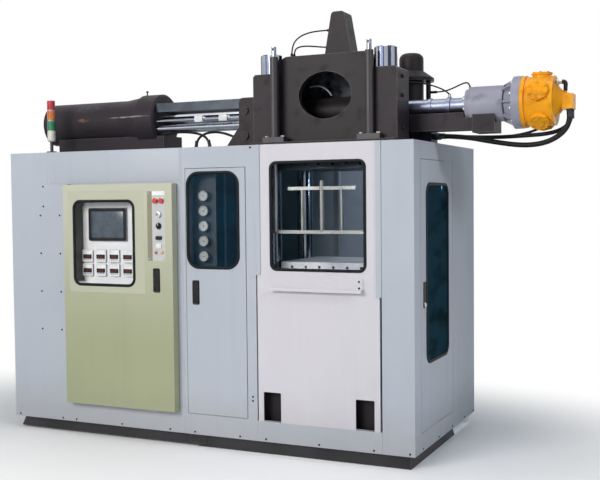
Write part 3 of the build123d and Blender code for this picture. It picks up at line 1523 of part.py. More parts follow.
def lay(name, points, radius):
    """A hose or cable of straight runs joined by arcs as large as the runs allow."""
    stops = [Vector(*point) for point in points]
    runs = [after - before for before, after in zip(stops, stops[1:])]
    bends = []
    for before, after in zip(runs, runs[1:]):
        half_turn = radians(before.get_angle(after)) / 2
        bends.append(arc_share * min(before.length, after.length) / tan(half_turn))
    with BuildPart() as cord:
        with BuildLine() as route:
            FilletPolyline(*stops, radius=bends)
        with BuildSketch(Plane(stops[0], z_dir=runs[0])):
            Circle(radius)
        sweep()
    length = sum(edge.length for edge in route.edges())
    print(name, "diameter", 2 * radius, "length", round(length), "radii", [round(bend) for bend in bends],
          "volume share", round(cord.part.volume / (pi * radius * radius * length), 4))
    save(name, cord)


def raised(points, along, height):
    """The points of a route, set from a place along the machine and from a height."""
    return [(along + x, y, height + z) for x, y, z in points]


# Hoses from the manifold to the motor
manifold_port_end = crosshead_half_width + manifold_width + manifold_port_length
motor_port_x = port_block_start + port_reach
lay("motor_hose_a",
    [(manifold_port_end, manifold_middle - manifold_port_pitch, manifold_port_height),
     *raised(motor_hose_a_points, 0, injection_height),
     (motor_port_x, -port_spread / 2, port_block_bottom)], large_hose_radius)
lay("motor_hose_b",
    [(manifold_port_end, manifold_middle, manifold_port_height),
     *raised(motor_hose_b_points, 0, injection_height),
     (motor_port_x, port_spread / 2, port_block_bottom)], middle_hose_radius)
lay("motor_hose_c",
    [(manifold_port_end, manifold_middle + manifold_port_pitch, manifold_port_height),
     *raised(motor_hose_c_points, 0, injection_height),
     (motor_middle, drain_reach * drain_out[1], injection_height + drain_reach * drain_out[2])], small_hose_radius)

# Cables to the barrel and to the tower cover
lay("barrel_cable_a",
    [(tie_bar_spacing_x / 2, column_gland_end, column_gland_height),
     *raised(barrel_cable_a_points, 0, injection_height),
     (barrel_flange_start + barrel_flange_rim / 2, 0,
      injection_height + barrel_flange_radius + cable_gland_rise)], cable_radius)
lay("barrel_cable_b",
    [(stud_gland_end, tie_bar_spacing_y / 2, stud_gland_height),
     *raised(barrel_cable_b_points, 0, injection_height),
     ((barrel_flange_end + housing_neck_end) / 2, 0,
      injection_height + housing_neck_radius + cable_gland_rise)], cable_radius)
tower_routes = (("tower_cable_a", tower_cable_a_points), ("tower_cable_b", tower_cable_b_points))
for (name, middle), hood_place, (across, rise) in zip(tower_routes, hood_gland_places, tower_gland_places):
    side_share = rise / tower_height
    side_x = (tower_base_width + side_share * (tower_top_width - tower_base_width)) / 2
    lay(name,
        [(*hood_place, hood_top + cable_gland_length), *raised(middle, 0, hood_top),
         (-side_x + cable_gland_radius - cable_gland_length, across, hood_top + rise)], cable_radius)

# Hoses from the injection cylinder's collar and from the bracket into the cabinet
lay("cylinder_hose",
    [(collar_end + small_port_length, collar_port_across, injection_height - collar_port_drop),
     *raised(cylinder_hose_points, collar_end, injection_height),
     (*top_gland_places[0], cabinet_top + small_port_height)], small_hose_radius)
lay("bracket_hose",
    [(*top_gland_places[1], cabinet_top + small_port_height),
     *raised(bracket_hose_points, collar_end, injection_height),
     (cheek_end - bracket_plate - small_port_length, bracket_port_across, injection_height - bracket_port_drop)],
    small_hose_radius)
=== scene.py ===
# %% [markdown]
# A rubber injection moulding machine: a sheet steel cabinet, a press whose crosshead stands out of its top,
# an injection cylinder lying to the left and an extruder with a yellow motor to the right. The solid shapes
# come ready made from the frame. This lesson lays its hoses, paints every surface and adds the small trim.

# %% Load the frame
import math

import bmesh
import bpy
from mathutils import Matrix, Vector


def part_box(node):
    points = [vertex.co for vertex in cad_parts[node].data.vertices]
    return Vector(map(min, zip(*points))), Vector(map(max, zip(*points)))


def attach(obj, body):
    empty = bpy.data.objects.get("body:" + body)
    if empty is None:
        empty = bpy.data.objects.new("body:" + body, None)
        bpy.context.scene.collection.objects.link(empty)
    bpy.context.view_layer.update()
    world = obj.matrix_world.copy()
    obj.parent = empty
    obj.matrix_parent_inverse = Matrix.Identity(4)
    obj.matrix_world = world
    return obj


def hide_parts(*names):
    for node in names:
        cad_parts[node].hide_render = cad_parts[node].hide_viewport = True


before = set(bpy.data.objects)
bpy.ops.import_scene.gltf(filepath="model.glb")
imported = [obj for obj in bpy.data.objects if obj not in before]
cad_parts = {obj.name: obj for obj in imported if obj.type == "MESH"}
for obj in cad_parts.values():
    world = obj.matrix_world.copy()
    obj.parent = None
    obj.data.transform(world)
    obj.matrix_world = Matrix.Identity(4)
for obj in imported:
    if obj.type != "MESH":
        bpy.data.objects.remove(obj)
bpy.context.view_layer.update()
MM = 0.001


def at(x, y, z):
    """A place in the machine's frame, given in millimetres."""
    return Vector((x, y, z)) * MM


# %% [markdown]
# The camera stands to the right of the machine, a little below the top of the cabinet. Its place was worked
# out from the cabinet's corners, so it is given as a place and three turns rather than as a tracked target:
# a target would lose the small roll of the picture.

# %% Camera
camera_place = Vector((2.289, -5.585, 1.550))
yaw, pitch, roll = (math.radians(turn) for turn in (-24.88, -2.41, -0.57))
forward = Vector((math.sin(yaw) * math.cos(pitch), math.cos(yaw) * math.cos(pitch), math.sin(pitch)))
level = Vector((math.cos(yaw), -math.sin(yaw), 0))
upright = level.cross(forward)
right = math.cos(roll) * level + math.sin(roll) * upright
up = right.cross(forward)
camera_data = bpy.data.cameras.new("camera")
camera_data.sensor_width = 36
camera_data.lens = 58.01
camera = bpy.data.objects.new("camera", camera_data)
turned_to = Matrix((right, up, -forward)).transposed().to_4x4()
camera.matrix_world = Matrix.Translation(camera_place) @ turned_to
bpy.context.scene.collection.objects.link(camera)
bpy.context.scene.camera = camera
bpy.context.scene.view_settings.view_transform = "Standard"
print("camera:", [round(part, 3) for part in camera_place], "lens", camera_data.lens)

# %% [markdown]
# Hoses bring oil to the extruder's motor and cables reach the heaters. Each one is a smooth NURBS line with
# the same points as its solid and a round bevel. A line of straight runs would look like bent wire, so the
# order of 3 and the held ends are set after the points are in. The thickness is the radius of the points, on
# a bevel of 1: Blender adds that radius to a curve's box, and its default of 1 m would make the box too big.

# %% Hoses and cables
# Each route: thickness, length and points, in millimetres
hose_routes = {
    "motor_hose_a": (30, 944, [
        (573, 108, 1925), (735, 100, 1917), (930, 70, 1875), (1115, 22, 1845), (1245, -10, 1855),
        (1336, -25, 1900), (1384, -30, 1968), (1380, -30, 2040)]),
    "motor_hose_b": (24, 897, [
        (573, 150, 1925), (735, 142, 1916), (930, 112, 1904), (1115, 72, 1906), (1250, 48, 1910),
        (1338, 36, 1934), (1382, 30, 1984), (1380, 30, 2040)]),
    "motor_hose_c": (16, 779, [
        (573, 192, 1925), (690, 200, 1922), (830, 222, 1914), (965, 250, 1915), (1080, 272, 1932),
        (1165, 275, 1962), (1212, 240, 2000), (1221, 190, 2030), (1221, 142.66, 2045.65)]),
    "barrel_cable_a": (9, 386, [
        (370, 135, 2250), (374, 98, 2252), (400, 68, 2255), (448, 54, 2250), (505, 46, 2240),
        (562, 38, 2225), (615, 24, 2204), (655, 10, 2184), (683, 0, 2161)]),
    "barrel_cable_b": (9, 378, [
        (535, 235, 2205), (580, 226, 2205), (630, 192, 2211), (680, 146, 2220), (725, 100, 2228),
        (765, 56, 2231), (793, 20, 2222), (806, 0, 2198)]),
    "tower_cable_a": (9, 320, [
        (-236, -232, 2435), (-234, -226, 2480), (-222, -203, 2520), (-198, -165, 2552), (-165, -118, 2574),
        (-125, -78, 2586), (-77.19, -52, 2590)]),
    "tower_cable_b": (9, 244, [
        (-236, -196, 2435), (-234, -190, 2465), (-216, -168, 2483), (-186, -131, 2491), (-152, -88, 2492),
        (-124, -58, 2491), (-94.96, -34, 2490)]),
    "cylinder_hose": (16, 407, [
        (-1262, -70, 2000), (-1170, -70, 2003), (-1085, -74, 2001), (-1005, -77, 1991), (-945, -79, 1970),
        (-914, -80, 1935), (-905, -80, 1895)]),
    "bracket_hose": (16, 590, [
        (-1040, -30, 1895), (-1036, -30, 1935), (-1008, -30, 1972), (-956, -30, 1994), (-886, -30, 1998),
        (-816, -30, 1985), (-755, -30, 1961), (-670, -30, 1947), (-590, -30, 1945), (-513, -30, 1945)]),
}
thinnest_hose = 16
hoses = {}
for name, (thickness, length, points) in hose_routes.items():
    line = bpy.data.curves.new(name + "_line", "CURVE")
    line.dimensions = "3D"
    line.bevel_depth = 1.0
    line.bevel_resolution = 5
    line.resolution_u = 10
    line.use_fill_caps = True
    spline = line.splines.new("NURBS")
    spline.points.add(len(points) - 1)
    for knot, point in zip(spline.points, points):
        knot.co = (*at(*point), 1)
        knot.radius = thickness / 2 * MM
    spline.order_u = 3
    spline.use_endpoint_u = True
    hose = bpy.data.objects.new(name + "_run", line)
    bpy.context.scene.collection.objects.link(hose)
    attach(hose, "machine")
    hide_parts(name)
    hoses[name] = hose
print("hoses and cables:", len(hoses))

# %% [markdown]
# A finish is one material, made of nodes. Wired one by one, their sums would be hard to follow, so they are
# written as Python expressions: a small class wraps a socket, and each operator adds one Math node.


# %% A socket as a value
class Value:
    """One socket of a finish, on which arithmetic adds Math nodes."""

    def __init__(self, finish, socket):
        self.finish = finish
        self.socket = socket

    def maths(self, operation, first, second):
        return self.finish.node("ShaderNodeMath", {"operation": operation}, {0: first, 1: second})

    def __add__(self, other):
        return self.maths("ADD", self, other)

    def __sub__(self, other):
        return self.maths("SUBTRACT", self, other)

    def __rsub__(self, other):
        return self.maths("SUBTRACT", other, self)

    def __mul__(self, other):
        return self.maths("MULTIPLY", self, other)

    def __gt__(self, other):
        return self.maths("GREATER_THAN", self, other)

    def __lt__(self, other):
        return self.maths("LESS_THAN", self, other)

    __radd__ = __add__
    __rmul__ = __mul__


print("sockets can be added, subtracted, multiplied and compared")

# %% [markdown]
# Every other node comes from one method, which sets the node's settings first and then its sockets, so a
# finish reads like a recipe rather than like wiring. The methods after it name what is used often, such as
# noise, a smooth step, a blend of two colours, an oval mark, and where an edge is near.


# %% A tree of nodes
class Recipe:
    """A tree of nodes, with the methods that add to it."""

    def __init__(self, tree):
        self.tree = tree

    def node(self, kind, settings=None, sockets=None, output=0):
        made = self.tree.nodes.new(kind)
        for key, value in (settings or {}).items():
            setattr(made, key, value)
        for key, value in (sockets or {}).items():
            self.join(made.inputs[key], value)
        return Value(self, made.outputs[output])

    def join(self, socket, value):
        if isinstance(value, Value):
            self.tree.links.new(value.socket, socket)
        else:
            socket.default_value = value

    def looked_at(self):
        """1 for what the camera sees, straight, mirrored or through a pane, and 0 for other light."""
        ways = ("Is Camera Ray", "Is Glossy Ray", "Is Transmission Ray")
        straight, mirrored, through = [self.node("ShaderNodeLightPath", output=way) for way in ways]
        return self.ease(straight + mirrored + through, 0.0, 1.0)

    def place(self):
        return self.node("ShaderNodeTexCoord", output=3)

    def facing(self):
        return self.node("ShaderNodeTexCoord", output=1)

    def vectors(self, operation, first, second=(0, 0, 0), output=0):
        """Vector Math. Output 1 is for operations that give a number."""
        return self.node("ShaderNodeVectorMath", {"operation": operation}, {0: first, 1: second}, output)

    def part(self, vector, axis):
        return self.node("ShaderNodeSeparateXYZ", None, {0: vector}, axis)

    def noise(self, scale, detail=2.0, stretch=None):
        where = self.place()
        if stretch:
            where = self.vectors("MULTIPLY", where, stretch)
        return self.node("ShaderNodeTexNoise", None, {"Vector": where, "Scale": scale, "Detail": detail})

    def ease(self, value, low, high):
        smooth = {"interpolation_type": "SMOOTHSTEP"}
        return self.node("ShaderNodeMapRange", smooth, {0: value, 1: low, 2: high})

    def blend(self, share, first, second):
        return self.node("ShaderNodeMix", {"data_type": "RGBA"}, {0: share, 6: first, 7: second}, 2)

    def mark(self, middle, reach):
        """1 in an oval round a place, fading to 0 at its rim."""
        away = self.vectors("DIVIDE", self.vectors("SUBTRACT", self.place(), middle), reach)
        return 1 - self.ease(self.vectors("LENGTH", away, output=1), 0.3, 1.0)

    def edges(self, reach):
        """0 on flat faces, more where an edge is near."""
        rounded = self.node("ShaderNodeBevel", {"samples": 4}, {"Radius": reach})
        flat = self.node("ShaderNodeNewGeometry", output=1)
        return 1 - self.vectors("DOT_PRODUCT", rounded, flat, 1)


X, Y, Z = range(3)
print("a tree of nodes can be written as a recipe")

# %% [markdown]
# A finish is such a tree with a shader at its end. Constant values are set once, and what varies over the
# surface is fed to the shader's sockets. Colours are written as they look on a screen and then made linear,
# because the shader works with amounts of light.


# %% A finish
class Finish(Recipe):
    """A material with a recipe: nodes feed its shader's sockets."""

    def __init__(self, name, **constants):
        self.material = bpy.data.materials.new(name)
        self.material.use_nodes = True
        super().__init__(self.material.node_tree)
        self.shader = self.tree.nodes["Principled BSDF"]
        for key, value in constants.items():
            self.shader.inputs[key.replace("_", " ")].default_value = value

    def feed(self, socket, value):
        self.join(self.shader.inputs[socket], value)

    def bump(self, height, strength, distance):
        self.feed("Normal", self.node("ShaderNodeBump", None, {
            "Strength": strength, "Distance": distance, "Height": height}))


def tint(red, green, blue):
    """A colour as it looks on a screen, in parts of 255, made linear for the shader."""
    parts = [part / 255 for part in (red, green, blue)]
    return (*(((part + 0.055) / 1.055) ** 2.4 if part > 0.04 else part / 12.92 for part in parts), 1.0)


def dress(finish, *names):
    """Put a finish on solids of the frame."""
    for name in names:
        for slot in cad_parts[name].material_slots:
            slot.material = finish.material


print("finishes are ready")

# %% [markdown]
# Sheet steel cabinets are powder coated. The powder melts to a faint orange peel, so the coat gets a fine
# bump. Broad noise varies the shade a little, vertical streaks come from wiping, and dust gathers near the
# floor. The olive door is painted lighter towards its top, as painted light from above, and painted shade
# darkens the rear panels inside, more towards the left. One recipe makes all the painted panels; separate
# ones would repeat most of their nodes.


# %% Powder coat
speck_grey = tint(120, 118, 116)
floor_dust = tint(140, 132, 122)
# Painted shade: the grey laid on the inside of the rear panels.
painted_shade_grey = tint(98, 118, 128)
peel_scale, peel_strength, peel_depth = 330.0, 0.10, 0.0008


def powder_coat(name, colour, shaded, roughness=0.46, painted_light_top=None, painted_shade_span=None):
    finish = Finish(name, Specular_IOR_Level=0.3)
    height = finish.part(finish.place(), Z)
    broad = finish.ease(finish.noise(1.1, 3.0), 0.35, 0.7)
    streaks = finish.ease(finish.noise(5.0, 3.0, (3.0, 3.0, 0.12)), 0.48, 0.8)
    specks = finish.ease(finish.noise(46.0, 5.0), 0.70, 0.78)
    dust = finish.ease(0.34 - height + 0.16 * finish.noise(7.0, 4.0), 0.0, 0.36)
    coat = finish.blend(broad * 0.5 + streaks * 0.28, colour, shaded)
    # Painted light: a paler colour towards the top stands for light falling from above.
    if painted_light_top:
        coat = finish.blend(finish.ease(height, 0.5, 1.7), coat, painted_light_top)
    coat = finish.blend(specks * 0.20, coat, speck_grey)
    coat = finish.blend(dust * 0.30, coat, floor_dust)
    # Painted shade: faces inside the rear panels darken towards the left.
    if painted_shade_span:
        inside = finish.part(finish.facing(), Y) < -0.5
        painted_shade = finish.ease(finish.part(finish.place(), X), *painted_shade_span) * inside
        coat = finish.blend(painted_shade, coat, painted_shade_grey)
    finish.feed("Base Color", coat)
    finish.feed("Roughness", roughness + 0.16 * dust + 0.07 * streaks + 0.10 * specks)
    finish.bump(finish.noise(peel_scale, 1.0), peel_strength, peel_depth)
    return finish


cabinet_grey = tint(178, 184, 194), tint(166, 173, 184)
# Where the painted shade inside the rear panels starts and where it is full, along X in metres.
painted_shade_start, painted_shade_end = -0.3, -0.75
cabinet_paint = powder_coat("cabinet_powder_coat", *cabinet_grey)
rear_paint = powder_coat("rear_panel_powder_coat", *cabinet_grey, painted_shade_span=(painted_shade_start, painted_shade_end))
door_paint = powder_coat("lifting_door_powder_coat", tint(206, 204, 210), tint(195, 194, 202))
olive_paint = powder_coat("olive_powder_coat", tint(158, 163, 132), tint(148, 153, 122),
                          painted_light_top=tint(187, 188, 170))
dress(cabinet_paint, "front_panel_left", "gauge_bay_panel", "press_bay_panels", "side_panels", "top_panel",
      "door_guides", "gauge_door", "side_door")
dress(rear_paint, "end_and_rear_panels")
dress(door_paint, "front_door")
dress(olive_paint, "control_door")
print("powder coats: cabinet, rear panels, lifting door, olive")

# %% [markdown]
# The heavy castings and welded plates are brushed with dark machine enamel. It is thick enough to round the
# grain of the casting, pale dust lies on what faces up, and the corners are rubbed to the primer. The edge
# mask compares a rounded normal with the flat one, which works on any solid without painting it by hand.
# Wear in one place, such as a scuff on the cylinder, is an oval mark broken up by noise; a pale patch of
# painted light round the hood's hollow is made the same way.


# %% Machine enamel
grime_brown = tint(46, 40, 38)
settled_dust = tint(126, 122, 122)
bare_primer = tint(150, 146, 146)


def machine_enamel(name, colour, shaded, grain=70.0, depth=0.35, roughness=0.46, rubbed=0.5, dusty=0.35,
                   marks=()):
    finish = Finish(name, Specular_IOR_Level=0.16)
    faces_up = finish.ease(finish.part(finish.facing(), Z), 0.55, 0.98)
    broad = finish.ease(finish.noise(2.4, 5.0), 0.32, 0.72)
    grime = finish.ease(finish.noise(13.0, 6.0), 0.5, 0.78)
    dust = faces_up * finish.ease(finish.noise(9.0, 5.0), 0.3, 0.75)
    bare = finish.ease(finish.edges(0.006) * finish.noise(34.0, 4.0), 0.035, 0.16)
    coat = finish.blend(broad, colour, shaded)
    coat = finish.blend(grime * 0.35, coat, grime_brown)
    coat = finish.blend(dust * dusty, coat, settled_dust)
    coat = finish.blend(bare * rubbed, coat, bare_primer)
    not_behind = finish.part(finish.facing(), Y) < 0.5
    broken = finish.ease(finish.noise(20.0, 5.0), 0.3, 0.62) * not_behind
    for middle, reach, trace in marks:
        coat = finish.blend(finish.mark(middle, reach) * broken, coat, trace)
    finish.feed("Base Color", coat)
    finish.feed("Roughness", roughness + 0.22 * dust + 0.14 * grime - 0.12 * bare)
    finish.bump(finish.noise(grain, 3.0), depth, 0.0012)
    return finish


machine_dark = tint(45, 39, 45), tint(34, 31, 36)
# Each mark: its middle and reach in metres, and its colour
# Painted light: a pale bluish patch that lightens the hood round its hollow.
hood_hollow_light = (0.0, 0.0, 2.2), (0.42, 0.22, 0.42), tint(150, 156, 168)
scuff = (-1.87, -0.16, 2.106), (0.06, 0.1, 0.018), tint(112, 82, 66)
weld_streak = (-1.49, -0.16, 2.113), (0.22, 0.1, 0.007), tint(150, 150, 156)
pale_patch = (-1.86, -0.12, 2.20), (0.16, 0.1, 0.05), tint(66, 64, 74)
machine_paint = machine_enamel("dark_machine_enamel", *machine_dark)
hood_paint = machine_enamel("hood_enamel_painted_light", *machine_dark, marks=[hood_hollow_light])
cylinder_paint = machine_enamel("scuffed_cylinder_enamel", *machine_dark,
                                marks=[scuff, weld_streak, pale_patch])
base_paint = machine_enamel("base_enamel", tint(60, 60, 62), tint(48, 47, 49), rubbed=0.7)
motor_paint = machine_enamel("yellow_motor_enamel", tint(246, 172, 30), tint(238, 152, 18), 120.0, 0.22, 0.32,
                             rubbed=0.12, dusty=0.1)
housing_paint = machine_enamel("silver_housing_enamel", tint(164, 165, 179), tint(140, 141, 157), 90.0, 0.3,
                               0.36, rubbed=0.3, dusty=0.12)
tank_paint = machine_enamel("tank_enamel", tint(112, 122, 130), tint(92, 102, 112), rubbed=0.4)
dress(hood_paint, "crosshead")
dress(cylinder_paint, "injection_cylinder")
dress(machine_paint, "press_bed", "rear_columns", "injection_bracket", "tower_cover", "extruder_support",
      "injection_chamber")
dress(base_paint, "base_frame")
dress(motor_paint, "hydraulic_motor")
dress(housing_paint, "bearing_housing")
dress(tank_paint, "power_pack")
print("enamels: machine, hood, cylinder, base, motor, housing, tank")

# %% [markdown]
# Steel shows how it was worked. Chrome plated rods are nearly mirrors with faint rings from grinding, turned
# parts carry rings from the tool, plates carry straight scratches, and a heated barrel turns bluish. A noise
# squeezed along one axis becomes lines, so it gives each kind its direction. Chrome also mirrors a whole
# workshop, which isn't there: dark bands that follow the way a face points stand for it.


# %% Bare steel
steel_stain = tint(92, 84, 78)
mirrored_dark = tint(50, 56, 72)


def worked_steel(name, colour, shaded, roughness, stretch, lines=0.12, stain=0.25, bands=None):
    finish = Finish(name, Metallic=1.0)
    scratches = finish.noise(60.0, 3.0, stretch)
    clouds = finish.ease(finish.noise(6.0, 4.0), 0.38, 0.74)
    spots = finish.ease(finish.noise(38.0, 5.0), 0.62, 0.8)
    metal = finish.blend(clouds * 0.7, colour, shaded)
    metal = finish.blend(spots * stain, metal, steel_stain)
    if bands:
        way = finish.vectors("DOT_PRODUCT", finish.facing(), bands, 1)
        wave = finish.node("ShaderNodeMath", {"operation": "SINE"}, {0: way})
        metal = finish.blend(finish.ease(wave, -0.35, 0.4), metal, mirrored_dark)
    finish.feed("Base Color", metal)
    finish.feed("Roughness", roughness + 0.14 * scratches + 0.12 * clouds + 0.16 * spots)
    finish.bump(scratches, lines, 0.0004)
    return finish


tool_rings = (22.0, 1.0, 1.0)
plate_scratches = (1.0, 16.0, 16.0)
ground_rings = (1.0, 1.0, 14.0)
rumbled = (6.0, 6.0, 6.0)
chrome = worked_steel("polished_chrome", tint(172, 177, 188), tint(142, 148, 162), 0.08, ground_rings,
                      0.05, 0.06, bands=(9.0, 5.0, 0.0))
rod_chrome = worked_steel("hard_chrome_rod", tint(214, 216, 222), tint(186, 190, 198), 0.1, (12.0, 2.0, 2.0),
                          0.05, 0.06, bands=(6.0, -3.0, -5.0))
bright_steel = worked_steel("bright_fittings", tint(206, 209, 216), tint(176, 180, 190), 0.16, rumbled)
plate_steel = worked_steel("dull_plate_steel", tint(232, 235, 243), tint(212, 216, 227), 0.5, plate_scratches)
frame_zinc = worked_steel("bright_zinc_frame", tint(176, 179, 178), tint(146, 149, 148), 0.34, rumbled)
turned_steel = worked_steel("turned_steel", tint(136, 143, 160), tint(102, 109, 130), 0.26, tool_rings,
                            0.2, 0.3)
beam_steel = worked_steel("blackened_beam_steel", tint(62, 67, 74), tint(38, 42, 48), 0.34, (1.0, 14.0, 14.0),
                          0.2, 0.4)
zinc_steel = worked_steel("zinc_plated_steel", tint(190, 190, 185), tint(160, 162, 160), 0.3, rumbled,
                          0.12, 0.3)
dress(chrome, "clamp_ram", "tie_bars")
dress(rod_chrome, "guide_rods", "injection_piston")
dress(frame_zinc, "lift_frame")
dress(plate_steel, "moving_platen")
dress(beam_steel, "tie_beams", "upper_heating_plate", "hose_manifold")
dress(turned_steel, "extruder_barrel", "plasticizing_screw")
print("steels: two chromes, fittings, plate, frame, turned, beam, zinc")

# %% [markdown]
# Moulded parts are plastic or rubber with a fine spark grain. The hoses have a coarser and deeper grain, from
# the cloth that they are wrapped in while they cure, and the paddles and cases are satin black. Noise in
# space needs no unwrapping, so one recipe serves them all.


# %% Plastic and rubber
handled_grime = tint(96, 92, 88)


def moulded(name, colour, shaded, roughness=0.45, grain=520.0, depth=0.12, gloss=0.5):
    finish = Finish(name, Specular_IOR_Level=gloss)
    clouds = finish.ease(finish.noise(22.0, 4.0), 0.35, 0.75)
    spark = finish.noise(grain, 2.0)
    grime = finish.ease(finish.noise(64.0, 5.0), 0.62, 0.8)
    skin = finish.blend(clouds, colour, shaded)
    finish.feed("Base Color", finish.blend(grime * 0.16, skin, handled_grime))
    finish.feed("Roughness", roughness + 0.16 * spark + 0.12 * grime)
    finish.bump(spark, depth, 0.0004)
    return finish


black_plastic = moulded("satin_black_plastic", tint(28, 29, 32), tint(20, 21, 24), gloss=0.2)
gasket_rubber = moulded("gasket_rubber", tint(18, 24, 28), tint(12, 16, 20), 0.5, 300.0, gloss=0.14)
hose_rubber = moulded("wrapped_hose_rubber", tint(24, 24, 27), tint(17, 17, 20), 0.46, 260.0, 0.3,
                      gloss=0.22)
red_plastic = moulded("red_button_plastic", tint(196, 62, 46), tint(176, 44, 34), 0.3)
white_plastic = moulded("white_instrument_plastic", tint(228, 229, 230), tint(214, 216, 218), 0.35)
grey_plastic = moulded("grey_instrument_plastic", tint(150, 153, 160), tint(132, 136, 144), 0.4)
dress(black_plastic, "control_latch", "gauge_latch", "side_latch", "selector_knob", "rocker_switch")
dress(red_plastic, "red_button_left", "red_button_right")
for hose in hoses.values():
    hose.data.materials.append(hose_rubber.material)
print("plastics and rubber: 6")

# %% [markdown]
# The panes are tinted polycarbonate. The press and the gauges show through the two in front, so these have a
# low alpha, and the side pane is so dark that it is almost solid. Faint wiping smears change the alpha and
# the gloss a little. Glass that bends light is another way, but so thin a sheet hardly shifts what is behind.


# %% Tinted panes
smear_tint = tint(22, 40, 46)


def tinted_pane(name, colour, clear, hazy, gloss=0.06):
    finish = Finish(name, IOR=1.5, Specular_IOR_Level=gloss)
    smears = finish.ease(finish.noise(4.0, 4.0, (1.0, 1.0, 2.6)), 0.4, 0.75)
    finish.feed("Base Color", finish.blend(smears, colour, smear_tint))
    finish.feed("Roughness", 0.03 + 0.10 * smears)
    finish.feed("Alpha", clear + hazy * smears)
    return finish


clear_pane = tinted_pane("press_window_pane", tint(6, 18, 22), 0.15, 0.05)
gauge_pane = tinted_pane("gauge_window_pane", tint(30, 70, 94), 0.17, 0.05)
dark_pane = tinted_pane("side_window_pane", tint(34, 62, 74), 0.98, 0.02, 0.0)
dress(clear_pane, "front_door_pane")
dress(gauge_pane, "gauge_door_pane")
dress(dark_pane, "side_door_pane")
print("panes: press, gauge and side")

# %% [markdown]
# Some solids hold more than one finish. Cutting them up would be the other way, but a mask on their own
# coordinates is enough: the chrome eyes of the lift cylinders start above their tubes, and the devices in
# the electrical box stand in front of their zinc plate. The switch strip also has a band of painted shade at
# its left, for the shaded wall of a recess that the solid doesn't have.


# %% Solids with two finishes
def two_tone(name, axis, border, below, above, roughness=0.4, metal_above=0.0, band=None):
    finish = Finish(name)
    over = finish.part(finish.place(), axis) > border
    clouds = finish.noise(14.0, 4.0)
    skin = finish.blend(over, finish.blend(clouds, *below), finish.blend(clouds, *above))
    # An optional band of painted shade along one side.
    if band:
        band_axis, band_border, shades = band
        in_band = finish.part(finish.place(), band_axis) < band_border
        skin = finish.blend(in_band, skin, finish.blend(clouds, *shades))
    finish.feed("Base Color", skin)
    finish.feed("Metallic", over * metal_above)
    finish.feed("Roughness", roughness + 0.14 * clouds - 0.28 * metal_above * over)
    finish.bump(finish.noise(160.0, 2.0), 0.16, 0.0008)
    return finish


eye_foot, device_back, dial_mount, name_field, lens_foot = 2.4045, -0.132, -0.3095, 1.585, 1.9588
tube_dark = tint(47, 42, 48), tint(36, 33, 38)
eye_silver = tint(140, 146, 158), tint(104, 109, 120)
lift_finish = two_tone("lift_cylinder_finish", Z, eye_foot, tube_dark, eye_silver, 0.42, 1.0)
box_finish = two_tone("electrical_box_finish", Y, device_back, (tint(60, 64, 72), tint(44, 47, 54)),
                      (tint(196, 198, 200), tint(180, 183, 186)))
board_finish = two_tone("gauge_board_finish", Y, dial_mount, (tint(120, 124, 126), tint(96, 100, 104)),
                        (tint(70, 76, 82), tint(58, 64, 70)))
# Painted shade: a band at the strip's left stands for a shaded recess wall.
strip_shade_width = 0.036
strip_painted_shade = tint(138, 136, 112), tint(122, 120, 98)
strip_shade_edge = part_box("switch_strip")[0][X] + strip_shade_width
strip_finish = two_tone("switch_strip_finish", Z, name_field, (tint(196, 198, 198), tint(178, 181, 183)),
                        (tint(236, 237, 238), tint(226, 228, 230)), band=(X, strip_shade_edge, strip_painted_shade))
tower_finish = two_tone("signal_tower_finish", Z, lens_foot, (tint(40, 40, 44), tint(30, 30, 34)),
                        (tint(186, 188, 190), tint(160, 163, 168)))
dress(lift_finish, "lift_cylinders")
dress(box_finish, "electrical_box")
dress(board_finish, "gauge_board")
dress(strip_finish, "switch_strip")
dress(tower_finish, "signal_tower")
dress(grey_plastic, "console_instruments")
print("two-tone solids: 5")

# %% [markdown]
# The console tray has three finishes: olive on its front plate, dark grey painted shade on the walls that
# stand up from its back and on faces that look down, and white on the back itself. The way a face points
# tells the walls from the back, so the mask follows the tray's own bends.

# %% Console tray
tray_finish = Finish("console_tray_finish")
tray_clouds = tray_finish.noise(9.0, 4.0)
tray_front = -0.4565
inside = tray_finish.part(tray_finish.place(), Y) > tray_front
sideways = tray_finish.part(tray_finish.facing(), X)
# Painted shade: faces inside the tray that look sideways or down are darkened.
shaded_walls = tray_finish.ease(sideways * sideways, 0.2, 0.7) + (tray_finish.part(tray_finish.facing(), Z) < -0.5)
tray_back = tray_finish.blend(tray_clouds, tint(232, 233, 236), tint(214, 216, 220))
tray_wall_shade = tray_finish.blend(tray_clouds, tint(74, 74, 68), tint(52, 52, 48))
tray_plate = tray_finish.blend(tray_clouds, tint(184, 185, 166), tint(174, 176, 156))
lined = tray_finish.blend(shaded_walls, tray_back, tray_wall_shade)
tray_finish.feed("Base Color", tray_finish.blend(inside, tray_plate, lined))
tray_finish.feed("Roughness", 0.4 + 0.12 * tray_clouds)
tray_finish.bump(tray_finish.noise(peel_scale, 1.0), peel_strength, peel_depth)
dress(tray_finish, "console_tray")
print("console tray: plate, walls and back")

# %% [markdown]
# The trim is built in three ways. Each adds to one mesh, so a row of screws is one piece. Ready-made
# primitives would have sharp edges and no detail of their own. The first way is turning: a profile of heights
# and radii goes round an axis, as on a lathe.


# %% Turning
def axes_of(axis):
    out = Vector(axis).normalized()
    across = out.orthogonal().normalized()
    return across, out.cross(across), out


